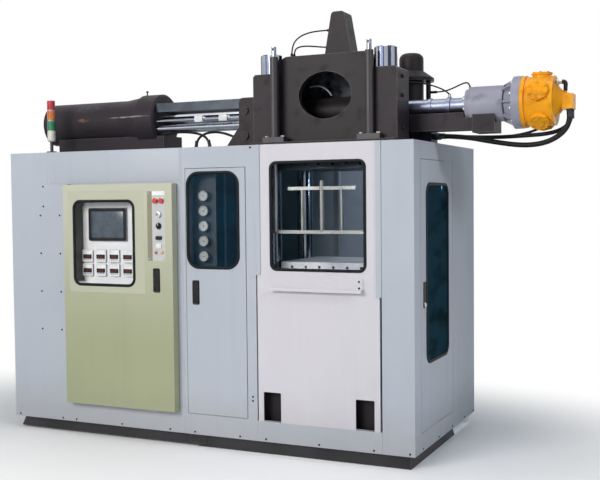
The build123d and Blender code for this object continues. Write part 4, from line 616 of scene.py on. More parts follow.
def turn(work, profile, base, axis, sides=24):
    """Turn a profile of (height, radius) round an axis, in millimetres."""
    across, along, out = axes_of(axis)
    angles = [math.tau * step / sides for step in range(sides)]
    rings = []
    for height, radius in profile:
        centre = base + out * (height * MM)
        if radius == 0:
            rings.append([work.verts.new(centre)])
            continue
        rings.append([work.verts.new(centre + (across * math.cos(a) + along * math.sin(a)) * (radius * MM))
                      for a in angles])
    for low, high in zip(rings, rings[1:]):
        for here in range(sides):
            after = (here + 1) % sides
            corners = [low[here % len(low)], low[after % len(low)],
                       high[after % len(high)], high[here % len(high)]]
            work.faces.new(list(dict.fromkeys(corners)))


FORWARD, RIGHTWARD, UPWARD = (0, -1, 0), (1, 0, 0), (0, 0, 1)
print("turning: profiles go round an axis")

# %% [markdown]
# The second way is sweeping: a closed section follows a rounded outline, as a rubber strip follows a window.
# A curve with a bevel could do it too. Here each point of the outline knows which way is outward, so the
# section can't twist.


# %% Sweeping
def outline(width, height, corner, steps=6):
    """Points of a rounded rectangle round its middle, each with its outward direction."""
    found = []
    for side, rise, start in ((1, -1, -90), (1, 1, 0), (-1, 1, 90), (-1, -1, 180)):
        for step in range(steps + 1):
            angle = math.radians(start + 90 * step / steps)
            out = Vector((math.cos(angle), math.sin(angle)))
            middle = Vector((side * (width / 2 - corner), rise * (height / 2 - corner)))
            found.append((middle + out * corner, out))
    return found


def sweep(work, path, section, centre, across, upward):
    """Sweep a closed section of (outward, proud) round a closed path that lies on a face."""
    across, upward = Vector(across), Vector(upward)
    proud = across.cross(upward)
    rings = []
    for place, out in path:
        ring = []
        for spread, rise in section:
            flat = place + out * spread
            ring.append(work.verts.new(centre + (across * flat.x + upward * flat.y + proud * rise) * MM))
        rings.append(ring)
    for ring, following in zip(rings, rings[1:] + rings[:1]):
        for here in range(len(section)):
            after = (here + 1) % len(section)
            work.faces.new((ring[here], ring[after], following[after], following[here]))


FRONT = ((1, 0, 0), (0, 0, 1))
SIDE = ((0, 1, 0), (0, 0, 1))
print("sweeping: sections follow an outline on a front or side face")

# %% [markdown]
# The third way is a block with eased edges, for plates, covers and keys. One function then makes a piece of a
# finished mesh: it shades it smooth but for its sharp edges, gives it a finish and lets it ride a body. A
# modifier for the edges would do as well, but it would stay on every piece.


# %% Blocks and pieces
def block(work, low, high, ease=1.0):
    """A block between two corners with eased edges."""
    low, high = at(*low), at(*high)
    size = high - low
    shape = Matrix.Translation((low + high) / 2) @ Matrix.Diagonal((*size, 1))
    made = bmesh.ops.create_cube(work, size=1, matrix=shape)["verts"]
    edges = list({edge for corner in made for edge in corner.link_edges})
    bmesh.ops.bevel(work, geom=edges, offset=ease * MM, segments=2, affect="EDGES", profile=0.6)


def fit(work, name, finish, body, sharp=38):
    """Finish a mesh as a piece that rides a body."""
    bmesh.ops.recalc_face_normals(work, faces=work.faces)
    mesh = bpy.data.meshes.new(name)
    work.to_mesh(mesh)
    work.free()
    mesh.shade_smooth()
    mesh.set_sharp_from_angle(angle=math.radians(sharp))
    mesh.materials.append(finish.material)
    made = bpy.data.objects.new(name, mesh)
    bpy.context.scene.collection.objects.link(made)
    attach(made, body)


print("ways of working: turn, sweep, block")

# %% [markdown]
# Rubber profiles hold the panes and trim the console opening. Each is one section swept round the opening's
# own outline: a thin lip inside, a rounded bead that stands out on the door. The openings are worked out from
# the panes, which reach a little past them behind the door.

# %% Window gaskets
LOW, HIGH = 0, 1


def face(node, end, axis):
    """Where a solid ends along an axis, in millimetres."""
    return round(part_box(node)[end][axis] / MM, 1)


def extent(node, axis):
    """Middle and length of a solid along an axis, in millimetres."""
    low, high = face(node, LOW, axis), face(node, HIGH, axis)
    return (low + high) / 2, high - low


def on_face(facing, depth, across, height):
    """A place on a front or side face, in millimetres."""
    return (across, depth, height) if facing is FRONT else (depth, across, height)


cabinet_front = face("gauge_door", LOW, Y)
console_front = face("control_door", LOW, Y)
cabinet_side = face("side_door", HIGH, X)
pane_overlap = 9
bead = [(-7, -3), (-7, 2.5), (-4.5, 5), (1, 6), (7, 5), (11, 2.6), (11, 0.15), (0, 0.15), (0, -3)]
seal = [(-14, 0.2), (-14, 3.4), (-1, 3.4), (0, 2.6), (0, 1.0), (-1, 0.2)]


def gasket(name, body, section, facing, middle, size, steps=10, sharp=60):
    work = bmesh.new()
    sweep(work, outline(*size, steps=steps), section, at(*middle), *facing)
    fit(work, name, gasket_rubber, body, sharp)


windows = {"press_window_gasket": ("front_door", FRONT, 35), "gauge_window_gasket": ("gauge_door", FRONT, 75),
           "side_window_gasket": ("side_door", SIDE, 60)}
for name, (door, facing, corner) in windows.items():
    across, width = extent(door + "_pane", X if facing is FRONT else Y)
    upright, height = extent(door + "_pane", Z)
    middle = on_face(facing, cabinet_front if facing is FRONT else cabinet_side, across, upright)
    gasket(name, door, bead, facing, middle, (width - 2 * pane_overlap, height - 2 * pane_overlap, corner))
console_middle, console_opening = (-1485.5, console_front, 1280), (463, 538, 45)
gasket("console_gasket", "control_door", bead, FRONT, console_middle, console_opening)
seal_inset, seal_corner = 1, 3
(door_x, door_width), (door_z, door_height) = extent("control_door", X), extent("control_door", Z)
gasket("control_door_seal", "machine", seal, FRONT, (door_x, cabinet_front, door_z),
       (door_width - 2 * seal_inset, door_height - 2 * seal_inset, seal_corner), 3, 38)
print("gaskets:", len(windows) + 1, "and one door seal")

# %% [markdown]
# The cabinet is held by screws along its foot and up its left bay, and a wide bare plate covers the top of
# the left panel. Each screw is a turned pan head with a driving recess. They could be copies of one screw,
# but a whole row as one piece is easier to carry along.

# %% Panel screws and the bare plate
pan_head = [(0, 0), (0, 6.5), (1.6, 6.2), (3.0, 4.6), (3.4, 2.6), (2.2, 2.2), (2.2, 0)]
socket_head = [(0, 0), (0, 8), (7.2, 8), (8, 7.2), (8, 4.6), (4, 4.4), (4, 0)]


def screws(name, places, axis, body, finish=zinc_steel, profile=pan_head, size=1.0, sides=18):
    work = bmesh.new()
    for place in places:
        turn(work, [(height * size, radius * size) for height, radius in profile], at(*place), axis, sides)
    fit(work, name, finish, body)


foot_height = 96
foot_row = (-2251, -1887, -1775, -1409, -1040, -856, -535, -356, -4, 342, 560)
bay_columns, bay_heights = (-2045, -1883), (692, 947, 1203, 1458)
front_places = [(x, foot_height) for x in foot_row]
front_places += [(x, z) for x in bay_columns for z in bay_heights]
front_places += [(-2018, z) for z in (1519, 1652)] + [(-442, z) for z in (1866, 349, 324)]
front_screws = [(x, cabinet_front, z) for x, z in front_places]
screws("front_panel_screws", front_screws, FORWARD, "machine", black_plastic)
side_screws = [(cabinet_side, y, foot_height) for y in (-250, 60, 360, 640, 870)]
screws("side_panel_screws", side_screws, RIGHTWARD, "machine", black_plastic)
lip_screws = [(270, face("front_door", LOW, Y), z) for z in (1036, 1074)]
screws("lip_screws", lip_screws, FORWARD, "front_door", black_plastic)
plate_left, plate_right, plate_foot, plate_top = -1985, -939, 1668, 1874
plate_thickness = 2.2
plate_front = cabinet_front - plate_thickness
screw_inset_x, screw_inset_z = 15, 14
work = bmesh.new()
block(work, (plate_left, plate_front, plate_foot), (plate_right, cabinet_front, plate_top), 0.9)
fit(work, "bare_header_plate", cabinet_paint, "machine")
plate_columns = (plate_left + screw_inset_x, (plate_left + plate_right) / 2, plate_right - screw_inset_x)
plate_rows = (plate_foot + screw_inset_z, plate_top - screw_inset_z)
plate_screws = [(x, plate_front, z) for x in plate_columns for z in plate_rows]
screws("header_plate_screws", plate_screws, FORWARD, "machine", size=0.8)
print("screws on the cabinet:", len(front_screws + side_screws + lip_screws + plate_screws))

# %% [markdown]
# Pressure gauges look through the narrow window. Each has a chrome bezel, a white dial with ticks and a
# pointer on a hub. The ticks are thin faces laid round the dial, so they stay crisp close up; a texture of
# lines would blur.


# %% Pressure gauges
dial_white = moulded("dial_white", tint(232, 233, 228), tint(220, 221, 216), 0.5, 300.0, 0.04)
ink_black = moulded("dial_ink", tint(26, 26, 30), tint(20, 20, 24), 0.5, 300.0, 0.04)
gauge_heights = (1198, 1293, 1388, 1483, 1578)
gauge_x, gauge_front = -808, -342
bezel = [(-6, 33.5), (5, 33.5), (7, 31.5), (7, 29.5), (2, 28.5), (0.3, 28.5), (-6, 33.0), (-6, 33.5)]
dial = [(0.2, 0), (0.2, 28.4), (0.9, 28.2), (1.0, 0)]
hub = [(1, 0), (1, 3.4), (3.2, 3.0), (3.6, 0)]
zero_angle, dial_sweep, tick_count, ticks_per_number = 225, 270, 24, 4
tick_ring, tick_lift = 26, 1.15
pointer_tail, pointer_tip, pointer_half, pointer_lift = 8, 23, 1.6, 2.0


def ink(work, middle, share, corners, lift):
    """One flat mark on a dial, its corners given along and across the direction of a share of the sweep."""
    angle = math.radians(zero_angle - dial_sweep * share)
    spoke = Vector((math.cos(angle), 0, math.sin(angle)))
    wide = Vector((-math.sin(angle), 0, math.cos(angle)))
    front = Vector((0, -lift, 0))
    places = [middle + (spoke * along + wide * aside + front) * MM for along, aside in corners]
    work.faces.new([work.verts.new(place) for place in places])


bezels, dials, marks = bmesh.new(), bmesh.new(), bmesh.new()
for order, height in enumerate(gauge_heights):
    middle = at(gauge_x, gauge_front, height)
    turn(bezels, bezel, middle, FORWARD, 40)
    turn(dials, dial, middle, FORWARD, 40)
    for tick in range(tick_count + 1):
        reach, half = (6.5, 0.7) if tick % ticks_per_number == 0 else (3.6, 0.4)
        inner = tick_ring - reach
        ink(marks, middle, tick / tick_count,
            [(tick_ring, half), (tick_ring, -half), (inner, -half), (inner, half)], tick_lift)
    reading = 0.12 + 0.14 * (order % 3)
    ink(marks, middle, reading,
        [(-pointer_tail, pointer_half), (-pointer_tail, -pointer_half), (pointer_tip, 0)], pointer_lift)
    turn(marks, hub, middle, FORWARD, 16)
fit(bezels, "gauge_bezels", bright_steel, "machine")
fit(dials, "gauge_dials", dial_white, "machine")
fit(marks, "gauge_marks", ink_black, "machine")
print("gauges:", len(gauge_heights))

# %% [markdown]
# In the console a display sits above eight temperature controllers. The display has a slate glass in a black
# frame; each controller has a white front, a black bar with lit digits and a row of small keys. One loop over
# columns and rows makes the eight, so they line up as moulded cases in a punched plate do.

# %% Display and controllers
screen_glass = moulded("display_slate_glass", tint(74, 86, 98), tint(60, 72, 84), 0.12, 900.0, 0.01)
lit_digits = Finish("lit_digits", Emission_Strength=1.0)
flicker = lit_digits.noise(90.0)
lit_digits.feed("Base Color", lit_digits.blend(flicker, tint(120, 34, 26), tint(96, 24, 20)))
lit_digits.feed("Emission Color", lit_digits.blend(flicker, tint(84, 20, 14), tint(60, 14, 10)))
display_x, display_z = -1511, 1398
display_front = face("console_instruments", LOW, Y)
frame_section = [(-14, 0.2), (-14, 3), (-12, 4.5), (5, 4.5), (7, 3), (7, 0.2)]
frame_width, frame_height, frame_corner = 282, 200, 6
glass_half_width, glass_half_height, glass_proud, glass_deep = 129, 88, 1.3, 2.7
work = bmesh.new()
frame_path = outline(frame_width, frame_height, frame_corner)
sweep(work, frame_path, frame_section, at(display_x, display_front, display_z), *FRONT)
fit(work, "display_frame", black_plastic, "control_door")
work = bmesh.new()
block(work, (display_x - glass_half_width, display_front - glass_proud, display_z - glass_half_height),
      (display_x + glass_half_width, display_front + glass_deep, display_z + glass_half_height), 0.6)
fit(work, "display_glass", screen_glass, "control_door")
case_x, case_z, case_pitch_x, case_pitch_z = -1675.5, 1099.5, 106, 92
case_columns, case_rows, case_side, case_corner, case_steps = 4, 2, 80, 5, 4
case_setback = 4
case_front = display_front + case_setback
case_section = [(-7, -0.5), (-7, 2.4), (-5, 4.4), (-1, 4.4), (1, 2.4), (1, -0.5)]
digit_bars = (((0, 0), (8, 2)), ((0, 6.5), (8, 8.5)), ((0, 13), (8, 15)), ((0, 1), (2, 7)), ((6, 8), (8, 14)))
digit_count, digit_pitch, digit_left, digit_foot = 3, 14, -20, -12.5
key_count, key_pitch, key_left, key_width = 4, 14, -26, 9
case_path = outline(case_side, case_side, case_corner, case_steps)
fronts, bars, digits, keys = bmesh.new(), bmesh.new(), bmesh.new(), bmesh.new()


def lay(work, front, x, z, low, high, back, proud, ease):
    """A block on a front face: its corners round (x, z), and how far before the face it starts and ends."""
    block(work, (x + low[0], front - proud, z + low[1]), (x + high[0], front - back, z + high[1]), ease)


for column in range(case_columns):
    for row in range(case_rows):
        x, z = case_x + case_pitch_x * column, case_z + case_pitch_z * row
        sweep(fronts, case_path, case_section, at(x, case_front, z), *FRONT)
        lay(fronts, case_front, x, z, (-35, -35), (35, 35), -0.1, 1.9, 0.6)
        lay(bars, case_front, x, z, (-34, -19), (34, 9), 1.8, 3.5, 0.5)
        for digit in range(digit_count):
            left = x + digit_left + digit_pitch * digit
            for low, high in digit_bars:
                lay(digits, case_front, left, z + digit_foot, low, high, 3.4, 4.0, 0.15)
        for key in range(key_count):
            left = x + key_left + key_pitch * key
            lay(keys, case_front, left, z, (0, -28), (key_width, -22), 1.8, 3.9, 0.8)
fit(fronts, "controller_fronts", white_plastic, "control_door")
fit(bars, "controller_bars", black_plastic, "control_door")
fit(digits, "controller_digits", lit_digits, "control_door")
fit(keys, "controller_keys", grey_plastic, "control_door")
print("controllers:", case_columns * case_rows)

# %% [markdown]
# Beside the console a bright strip carries the hand switches. Bezels ring the two red buttons, the key stands
# in its barrel, the selector has a white pointer, and two small lamp lenses sit at the bottom. Round parts
# are turned and the others are eased blocks. The bezels' places are read from the buttons and the selector.

# %% Switch trim
amber_lens = moulded("amber_lens", tint(226, 150, 70), tint(210, 128, 52), 0.2)
red_lens = moulded("red_lens", tint(206, 46, 52), tint(184, 30, 40), 0.2)
button_ring = [(0, 0), (0, 21.5), (2.5, 21.5), (4, 20), (4, 18.2), (0.4, 18.2), (0.4, 0)]
key_barrel = [(0, 0), (0, 18.6), (3, 18.6), (5, 16), (5, 9), (3.6, 8.4), (3.6, 0)]
key_bow = [(0, 0), (0, 10), (1.2, 11), (2.4, 10), (2.4, 0)]
lamp_lens = [(0, 0), (0, 9.4), (3, 9.0), (5.2, 6.0), (6, 0)]
selector_share = 0.96
button_x = [extent(button, X)[0] for button in ("red_button_left", "red_button_right")]
button_z = extent("red_button_left", Z)[0]
strip_x, selector_z = extent("selector_knob", X)[0], extent("selector_knob", Z)[0]
barrel_front, knob_front = face("switch_strip", LOW, Y), face("selector_knob", LOW, Y)
key_z, switch_z, lamp_z = 1465, 1267, 1224
lamp_stand, bow_stand, key_half = 6, 16, 1.2
work = bmesh.new()
for x in button_x:
    turn(work, button_ring, at(x, console_front, button_z), FORWARD, 36)
selector_ring = [(height, radius * selector_share) for height, radius in button_ring]
turn(work, selector_ring, at(strip_x, console_front, selector_z), FORWARD, 36)
fit(work, "button_bezels", bright_steel, "control_door")
work = bmesh.new()
turn(work, key_barrel, at(strip_x, barrel_front, key_z), FORWARD, 36)
lay(work, barrel_front, strip_x, key_z, (-key_half, -6), (key_half, 6), 3.4, 8, 0.4)
turn(work, key_bow, at(strip_x - key_half, barrel_front - bow_stand, key_z), RIGHTWARD, 24)
fit(work, "key_and_barrel", bright_steel, "control_door")
work = bmesh.new()
lay(work, knob_front, strip_x, selector_z, (-1.4, 2), (1.4, 18), -0.3, 0.9, 0.4)
fit(work, "selector_pointer", white_plastic, "selector")
work = bmesh.new()
lay(work, console_front, strip_x, switch_z, (-18.5, -15.4), (18.5, 15.4), 0, 9.4, 1.2)
lay(work, console_front, strip_x, switch_z, (-11, -9), (11, 9), 8.6, 12.5, 1.2)
fit(work, "white_switch_cover", white_plastic, "control_door")
for x, lens, name in zip(button_x, (red_lens, amber_lens), ("red_lamp_lens", "amber_lamp_lens")):
    work = bmesh.new()
    turn(work, lamp_lens, at(x, console_front - lamp_stand, lamp_z), FORWARD, 28)
    fit(work, name, lens, "control_door")
inset_x, inset_z = 9.7, 11.7
strip_columns = (face("switch_strip", LOW, X) + inset_x, face("switch_strip", HIGH, X) - inset_x)
strip_rows = (face("switch_strip", LOW, Z) + inset_z, face("switch_strip", HIGH, Z) - inset_z)
strip_screws = [(x, console_front, z) for x in strip_columns for z in strip_rows]
screws("strip_screws", strip_screws, FORWARD, "control_door", size=0.7)
print("switch trim: bezels, key, pointer, lamps")

# %% [markdown]
# The paddle latches sit in pressed dishes with a rim, and two keys hang from the side one. The rim is a small
# section swept round the dish; the keys ride the paddle, because they swing out with it.

# %% Latch trim
latches = {"control_latch": ("control_door", FRONT, console_front),
           "gauge_latch": ("gauge_door", FRONT, cabinet_front),
           "side_latch": ("side_door", SIDE, cabinet_side)}
rim = [(0.4, 0.15), (0.4, 1.4), (1.6, 2.2), (3.2, 1.6), (4, 0.15)]
dish_width, dish_height, dish_corner = 44, 145, 6
for latch, (door, facing, depth) in latches.items():
    work = bmesh.new()
    middle = on_face(facing, depth, extent(latch, X if facing is FRONT else Y)[0], extent(latch, Z)[0])
    sweep(work, outline(dish_width, dish_height, dish_corner), rim, at(*middle), *facing)
    fit(work, latch + "_rim", black_plastic, door)
ring_bow = [(0, 0), (0, 11), (1, 12), (2, 11), (2, 0)]
key_stud = [(0, 0), (0, 7), (3, 6.6), (3.6, 0)]
key_y, bow_z, bow_x, stud_x = extent("side_latch", Y)[0], 934, cabinet_side + 3.8, cabinet_side + 0.2
blade_low, blade_high, stud_rise = (0.1, -2, -44), (1.7, 2, -8), 6
work = bmesh.new()
for shift, drop in ((-3, 0), (9, -6)):
    bow = Vector((bow_x, key_y + shift, bow_z + drop))
    turn(work, ring_bow, at(*bow), RIGHTWARD, 24)
    block(work, bow + Vector(blade_low), bow + Vector(blade_high), 0.4)
turn(work, key_stud, at(stud_x, key_y, bow_z + stud_rise), RIGHTWARD, 20)
fit(work, "hanging_keys", bright_steel, "side_latch")
print("latch rims:", len(latches))

# %% [markdown]
# A signal tower shows the machine's state: red, amber, green and clear from the top. Each lens is a ribbed
# sleeve slipped over the solid lens. Ribs could be bump, but they show in the outline, so they are turned.

# %% Signal tower
lens_paints = [("clear_signal_lens", (214, 216, 204), (198, 200, 188)),
               ("green_signal_lens", (30, 128, 84), (22, 108, 70)),
               ("amber_signal_lens", (206, 120, 58), (186, 98, 44)),
               ("red_signal_lens", (188, 48, 60), (166, 34, 46))]
lens_pitch, ring_height, sleeve_height = 69, 7, 61.6
sleeve_inner, sleeve_outer, groove, crest = 26.02, 26.1, 26.3, 27.2
rib_count, rib_pitch = 10, 6.0
sleeve = [(0, sleeve_outer)]
for rib in range(rib_count):
    foot = rib * rib_pitch
    sleeve += [(foot + 1.2, crest), (foot + 4.2, crest), (foot + 5.9, groove)]
sleeve += [(sleeve_height, sleeve_outer), (sleeve_height, sleeve_inner), (0, sleeve_inner), (0, sleeve_outer)]
tower_x, tower_y = extent("signal_tower", X)[0], extent("signal_tower", Y)[0]
lens_low = face("signal_tower", HIGH, Z) - len(lens_paints) * lens_pitch
for order, (name, bright, deep) in enumerate(lens_paints):
    work = bmesh.new()
    turn(work, sleeve, at(tower_x, tower_y, lens_low + order * lens_pitch + ring_height), UPWARD, 48)
    plastic = moulded(name + "_plastic", tint(*bright), tint(*deep), 0.18)
    fit(work, name, plastic, "machine", 50)
print("signal lenses:", len(lens_paints))

# %% [markdown]
# Bolts hold the big flanges. Socket heads go round the bearing housing and into the crosshead, and hex heads
# hold the lift cylinders' feet. A hex head is turned like the others, with six sides. The rings of bolts
# could be copied round an empty, but a formula for the places on a circle is shorter.


# %% Bolts
def circle_of(count, radius, start=0.0):
    angles = [math.radians(start) + math.tau * n / count for n in range(count)]
    return [(radius * math.cos(a), radius * math.sin(a)) for a in angles]


hex_head = [(0, 0), (0, 13), (1, 13.6), (9, 13.6), (10, 12.4), (10, 0)]
axis_height = extent("bearing_housing", Z)[0]
neck_x, neck_radius, ring_x, ring_radius = face("bearing_housing", LOW, X), 76, 1072, 132
BACKWARD = (-1, 0, 0)
neck_bolts = [(neck_x, a, axis_height + b) for a, b in circle_of(8, neck_radius, 22)]
screws("housing_neck_bolts", neck_bolts, BACKWARD, "machine", zinc_steel, socket_head, 1.1)
ring_bolts = [(ring_x, a, axis_height + b) for a, b in circle_of(10, ring_radius, 18)]
screws("housing_ring_bolts", ring_bolts, BACKWARD, "machine", zinc_steel, socket_head, 1.2)
foot_y, foot_top = extent("lift_cylinders", Y)[0], 1925
foot_middles, bolt_shifts = (-305, 305), (-52, 52)
foot_bolts = [(x + shift, foot_y, foot_top) for x in foot_middles for shift in bolt_shifts]
screws("lift_foot_bolts", foot_bolts, UPWARD, "machine", zinc_steel, hex_head, 0.9, 6)
block_side, block_bolt_y = face("crosshead", HIGH, X), -214
block_bolts = [(block_side, block_bolt_y, z) for z in (1960, 2149, 2260)]
screws("block_side_bolts", block_bolts, RIGHTWARD, "machine", beam_steel, socket_head, 1.5)
print("bolts:", len(neck_bolts + ring_bolts + foot_bolts + block_bolts))

# %% [markdown]
# Each of the motor's five heads has a cap with a boss and a ring of screws, turned straight out from the
# motor's axis, and a small vent stands on the cylinder's collar. The caps could be five pieces, but they
# share one mesh, because they are all painted with the motor.

# %% Motor caps and the vent
cap_boss = [(0, 0), (0, 31), (3, 30), (3.6, 25), (1.4, 23), (1.4, 0)]
cap_screw = [(0, 0), (0, 6.6), (5, 6.6), (6, 5.8), (6, 3.4), (3, 3.2), (3, 0)]
motor_middle, cap_reach, cap_screw_ring = Vector((1221, 0, axis_height)), 160.1, 45
cap_count, screws_per_cap = 5, 6
motor_caps = bmesh.new()
for side, rise in circle_of(cap_count, 1, 90):
    out = Vector((0, side, rise))
    across = out.cross(Vector(RIGHTWARD))
    middle = motor_middle + out * cap_reach
    turn(motor_caps, cap_boss, at(*middle), out, 32)
    for ahead, aside in circle_of(screws_per_cap, cap_screw_ring, 30):
        turn(motor_caps, cap_screw, at(*(middle + Vector((ahead, 0, 0)) + across * aside)), out, 16)
fit(motor_caps, "motor_cap_screws", motor_paint, "machine")
vent = [(0, 0), (0, 11), (3, 11), (4, 5), (20, 4.6), (20, 7.5), (23, 8.5), (29, 8.5), (32, 6.5), (32, 0)]
vent_foot = (-1438, 0, 2265)
work = bmesh.new()
turn(work, vent, at(*vent_foot), UPWARD, 24)
fit(work, "collar_air_vent", beam_steel, "machine")
print("motor caps:", cap_count)

# %% [markdown]
# Each oil hose ends in a crimped steel ferrule with a swivel nut. Their places and directions come from the
# ends of the hoses' own routes, so they stay on the hoses if a route is moved.

# %% Hose ends
nut_length, crimp_count, crimp_pitch = 14, 4, 8
ferrules = bmesh.new()
for thickness, _, points in hose_routes.values():
    if thickness < thinnest_hose:
        continue
    wide = thickness / 2
    nut = [(-1, 0), (-1, wide + 5.5), (nut_length - 2, wide + 5.5), (nut_length, wide + 4), (nut_length, 0)]
    shell = [(nut_length, 0), (nut_length, wide + 2)]
    for crimp in range(crimp_count):
        start = nut_length + 3 + crimp_pitch * crimp
        shell += [(start, wide + 3.4), (start + 3, wide + 3.4), (start + 4.5, wide + 2.2)]
    shell += [(50, wide + 2), (50, wide + 0.3), (46, wide - 0.5), (46, 0)]
    for end, inner in ((points[0], points[1]), (points[-1], points[-2])):
        axis = Vector(inner) - Vector(end)
        turn(ferrules, nut, at(*end), axis, 6)
        turn(ferrules, shell, at(*end), axis, 24)
fit(ferrules, "hose_ferrules", beam_steel, "machine")
print("ferrules are on the hoses of", thinnest_hose, "mm and more")

# %% [markdown]
# Two small pipes show: a leak-oil elbow at the motor, a black rubber sleeve on a steel union, and a pale bent
# pipe inside the hood. Both are round sections carried along a bend. A bevelled curve would do as well, but a
# mesh is fitted to its body by the same function as the rest of the trim.


# %% Pipes
def bend(start, middle, finish, steps=10):
    """Points of a smooth bend between two straight directions, in millimetres."""
    start, middle, finish = Vector(start), Vector(middle), Vector(finish)
    shares = [step / steps for step in range(steps + 1)]
    return [start * (1 - t) ** 2 + middle * 2 * t * (1 - t) + finish * t * t for t in shares]


def tube(work, path, radius, sides=16):
    """Carry a round section along a path in an upright plane, and close its ends."""
    turns = [math.tau * step / sides for step in range(sides)]
    rings = []
    for place, before, after in zip(path, path[:1] + path[:-1], path[1:] + path[-1:]):
        ahead = (after - before).normalized()
        across = ahead.cross(Vector((0, 1, 0))).normalized()
        along = ahead.cross(across)
        rings.append([work.verts.new((place + (across * math.cos(a) + along * math.sin(a)) * radius) * MM)
                      for a in turns])
    for ring, following in zip(rings, rings[1:]):
        for here in range(sides):
            after = (here + 1) % sides
            work.faces.new((ring[here], ring[after], following[after], following[here]))
    work.faces.new(rings[0])
    work.faces.new(rings[-1])


leak_z, sleeve_radius, sleeve_end_radius, pipe_radius = 2196, 12.5, 11.5, 5.0
union = [(0, 0), (0, 16), (1.5, 17), (12, 17), (13.5, 16), (13.5, 12), (36, 12), (36, 0)]
union_foot = (1301, 0, leak_z)
work = bmesh.new()
elbow = bend((1338, 0, leak_z), (1354, 0, leak_z), (1353, 0, 2174))
tube(work, [Vector((1334, 0, leak_z))] + elbow, sleeve_radius)
tube(work, bend((1353, 0, 2176), (1352, 0, 2160), (1352, 0, 2144)), sleeve_end_radius)
fit(work, "leak_oil_sleeve", hose_rubber, "machine")
work = bmesh.new()
turn(work, union, at(*union_foot), RIGHTWARD, 6)
fit(work, "leak_oil_union", zinc_steel, "machine")
work = bmesh.new()
tube(work, bend((-168, -120, 2238), (-72, -120, 2262), (-22, -120, 2179)), pipe_radius)
fit(work, "hood_pipe", grey_plastic, "machine")
print("pipes: elbow, union and hood pipe")

# %% [markdown]
# Two white position sensors ride the thin rod beside the cylinder, each with a ribbed cover and a gland. The
# ribs are small blocks: at this size a bump would vanish from the side.

# %% Position sensors
sensor_places, sensor_half = (-952, -770), 29.5
sensor_front, sensor_back, sensor_foot, sensor_top = -148.5, -115.5, 2058.5, 2097.5
rib_front, rib_foot, rib_top, first_rib, rib_step, rib_width = -150.2, 2064, 2092, -20, 9, 4
gland_y, gland_z = -132, 2084
gland = [(0, 0), (0, 8), (9, 8), (11, 6), (16, 5.5), (16, 0)]
work = bmesh.new()
for x in sensor_places:
    block(work, (x - sensor_half, sensor_front, sensor_foot), (x + sensor_half, sensor_back, sensor_top), 2.5)
    for rib in range(5):
        left = x + first_rib + rib * rib_step
        block(work, (left, rib_front, rib_foot), (left + rib_width, sensor_front + 0.5, rib_top), 0.6)
    turn(work, gland, at(x + sensor_half - 0.5, gland_y, gland_z), RIGHTWARD, 18)
fit(work, "sensor_covers", white_plastic, "machine")
print("sensors:", len(sensor_places))

# %% [markdown]
# The studio is a pale floor under a white surround. The floor is a real surface close to the machine, so it
# takes its shadow, and turns into plain white light further out for the camera and for reflections. The
# lamps stay at a plain level: the white comes from the floor and the world, not from brighter lamps.

# %% Floor and surround
floor_half, floor_cells = 30, 8
work = bmesh.new()
bmesh.ops.create_grid(work, x_segments=floor_cells, y_segments=floor_cells, size=floor_half)
floor_mesh = bpy.data.meshes.new("studio_floor")
work.to_mesh(floor_mesh)
work.free()
floor = bpy.data.objects.new("studio_floor", floor_mesh)
bpy.context.scene.collection.objects.link(floor)
floor_finish = Finish("studio_floor_paint", Roughness=0.9, Specular_IOR_Level=0.1)
patches = floor_finish.noise(0.6, 3.0)
floor_finish.feed("Base Color", floor_finish.blend(patches, tint(246, 246, 247), tint(240, 240, 242)))
oval, oval_middle, shadow_reach, white_from = (0.62, 1.0, 0.0), (-0.5, 0.2, 0.0), 0.9, 2.4
squeezed = floor_finish.vectors("MULTIPLY", floor_finish.place(), oval)
away = floor_finish.vectors("DISTANCE", squeezed, oval_middle, 1)
far_out = floor_finish.looked_at() * floor_finish.ease(away, shadow_reach, white_from)
white = floor_finish.node("ShaderNodeEmission", None, {"Color": (1, 1, 1, 1), "Strength": 1.0})
painted = Value(floor_finish, floor_finish.shader.outputs[0])
mixed = floor_finish.node("ShaderNodeMixShader", None, {0: far_out, 1: painted, 2: white})
floor_finish.join(floor_finish.tree.nodes["Material Output"].inputs[0], mixed)
floor_mesh.materials.append(floor_finish.material)
world = bpy.data.worlds.new("studio_surround")
bpy.context.scene.world = world
world.use_nodes = True
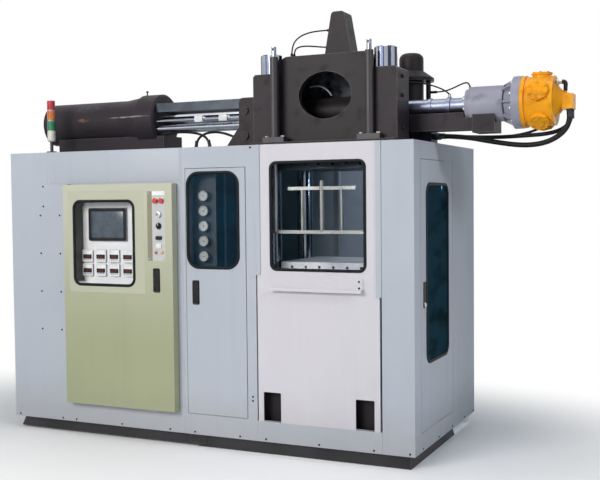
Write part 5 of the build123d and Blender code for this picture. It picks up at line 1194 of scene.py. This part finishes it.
surround = Recipe(world.node_tree)
backdrop = surround.tree.nodes["Background"]
fill_strength, fill_blue, backdrop_white = 0.13, (0.5, 0.78, 1.0, 1.0), (1.0, 1.0, 1.0, 1.0)
looked_at = surround.looked_at()
surround.join(backdrop.inputs["Strength"], fill_strength + (1.0 - fill_strength) * looked_at)
surround.join(backdrop.inputs["Color"], surround.blend(looked_at, fill_blue, backdrop_white))
print("floor and surround")

# %% [markdown]
# A large warm soft box lights the front, a narrow one the lower side, and weaker ones the top and the back. A
# small cool lamp in the press bay shows what is behind its window. Area lamps give soft edged shadows, as in
# the open light of a hall, where a sun or a spot would cut hard ones. The camera does not see them.


# %% Lamps
def lamp(name, place, target, size, watts, colour=(1, 1, 1), spread=180):
    data = bpy.data.lights.new(name, "AREA")
    data.shape = "RECTANGLE"
    data.size, data.size_y = size
    data.energy = watts
    data.spread = math.radians(spread)
    data.color = colour
    made = bpy.data.objects.new(name, data)
    aim = Vector(target) - Vector(place)
    made.matrix_world = Matrix.Translation(place) @ aim.to_track_quat("-Z", "Y").to_matrix().to_4x4()
    made.visible_camera = False
    bpy.context.scene.collection.objects.link(made)


warm, plain, cool, faint_blue = (1.0, 0.962, 0.915), (1, 1, 1), (0.62, 0.83, 1.0), (0.97, 0.97, 1.0)
lamp("front_softbox", (-2.3, -6.4, 3.6), (-0.8, -0.4, 1.2), (3.4, 2.6), 345, warm)
lamp("overhead_softbox", (-0.6, -0.6, 6.2), (-0.6, 0.2, 1.6), (4.5, 3.0), 80, plain)
lamp("side_softbox", (3.8, -1.8, 3.6), (0.6, -0.35, 0.55), (0.6, 0.6), 10.5, faint_blue, spread=60)
lamp("rear_softbox", (-1.0, 6.0, 3.4), (-0.6, 0.4, 1.4), (3.0, 2.4), 30, plain)
lamp("press_bay_lamp", (0.5, 0.25, 1.76), (0.3, 0.88, 1.2), (0.12, 0.4), 7, cool)
print("lamps: 5")

# %% [markdown]
# Last, the view layer is brought up to date.

# %% Finish
bpy.context.view_layer.update()
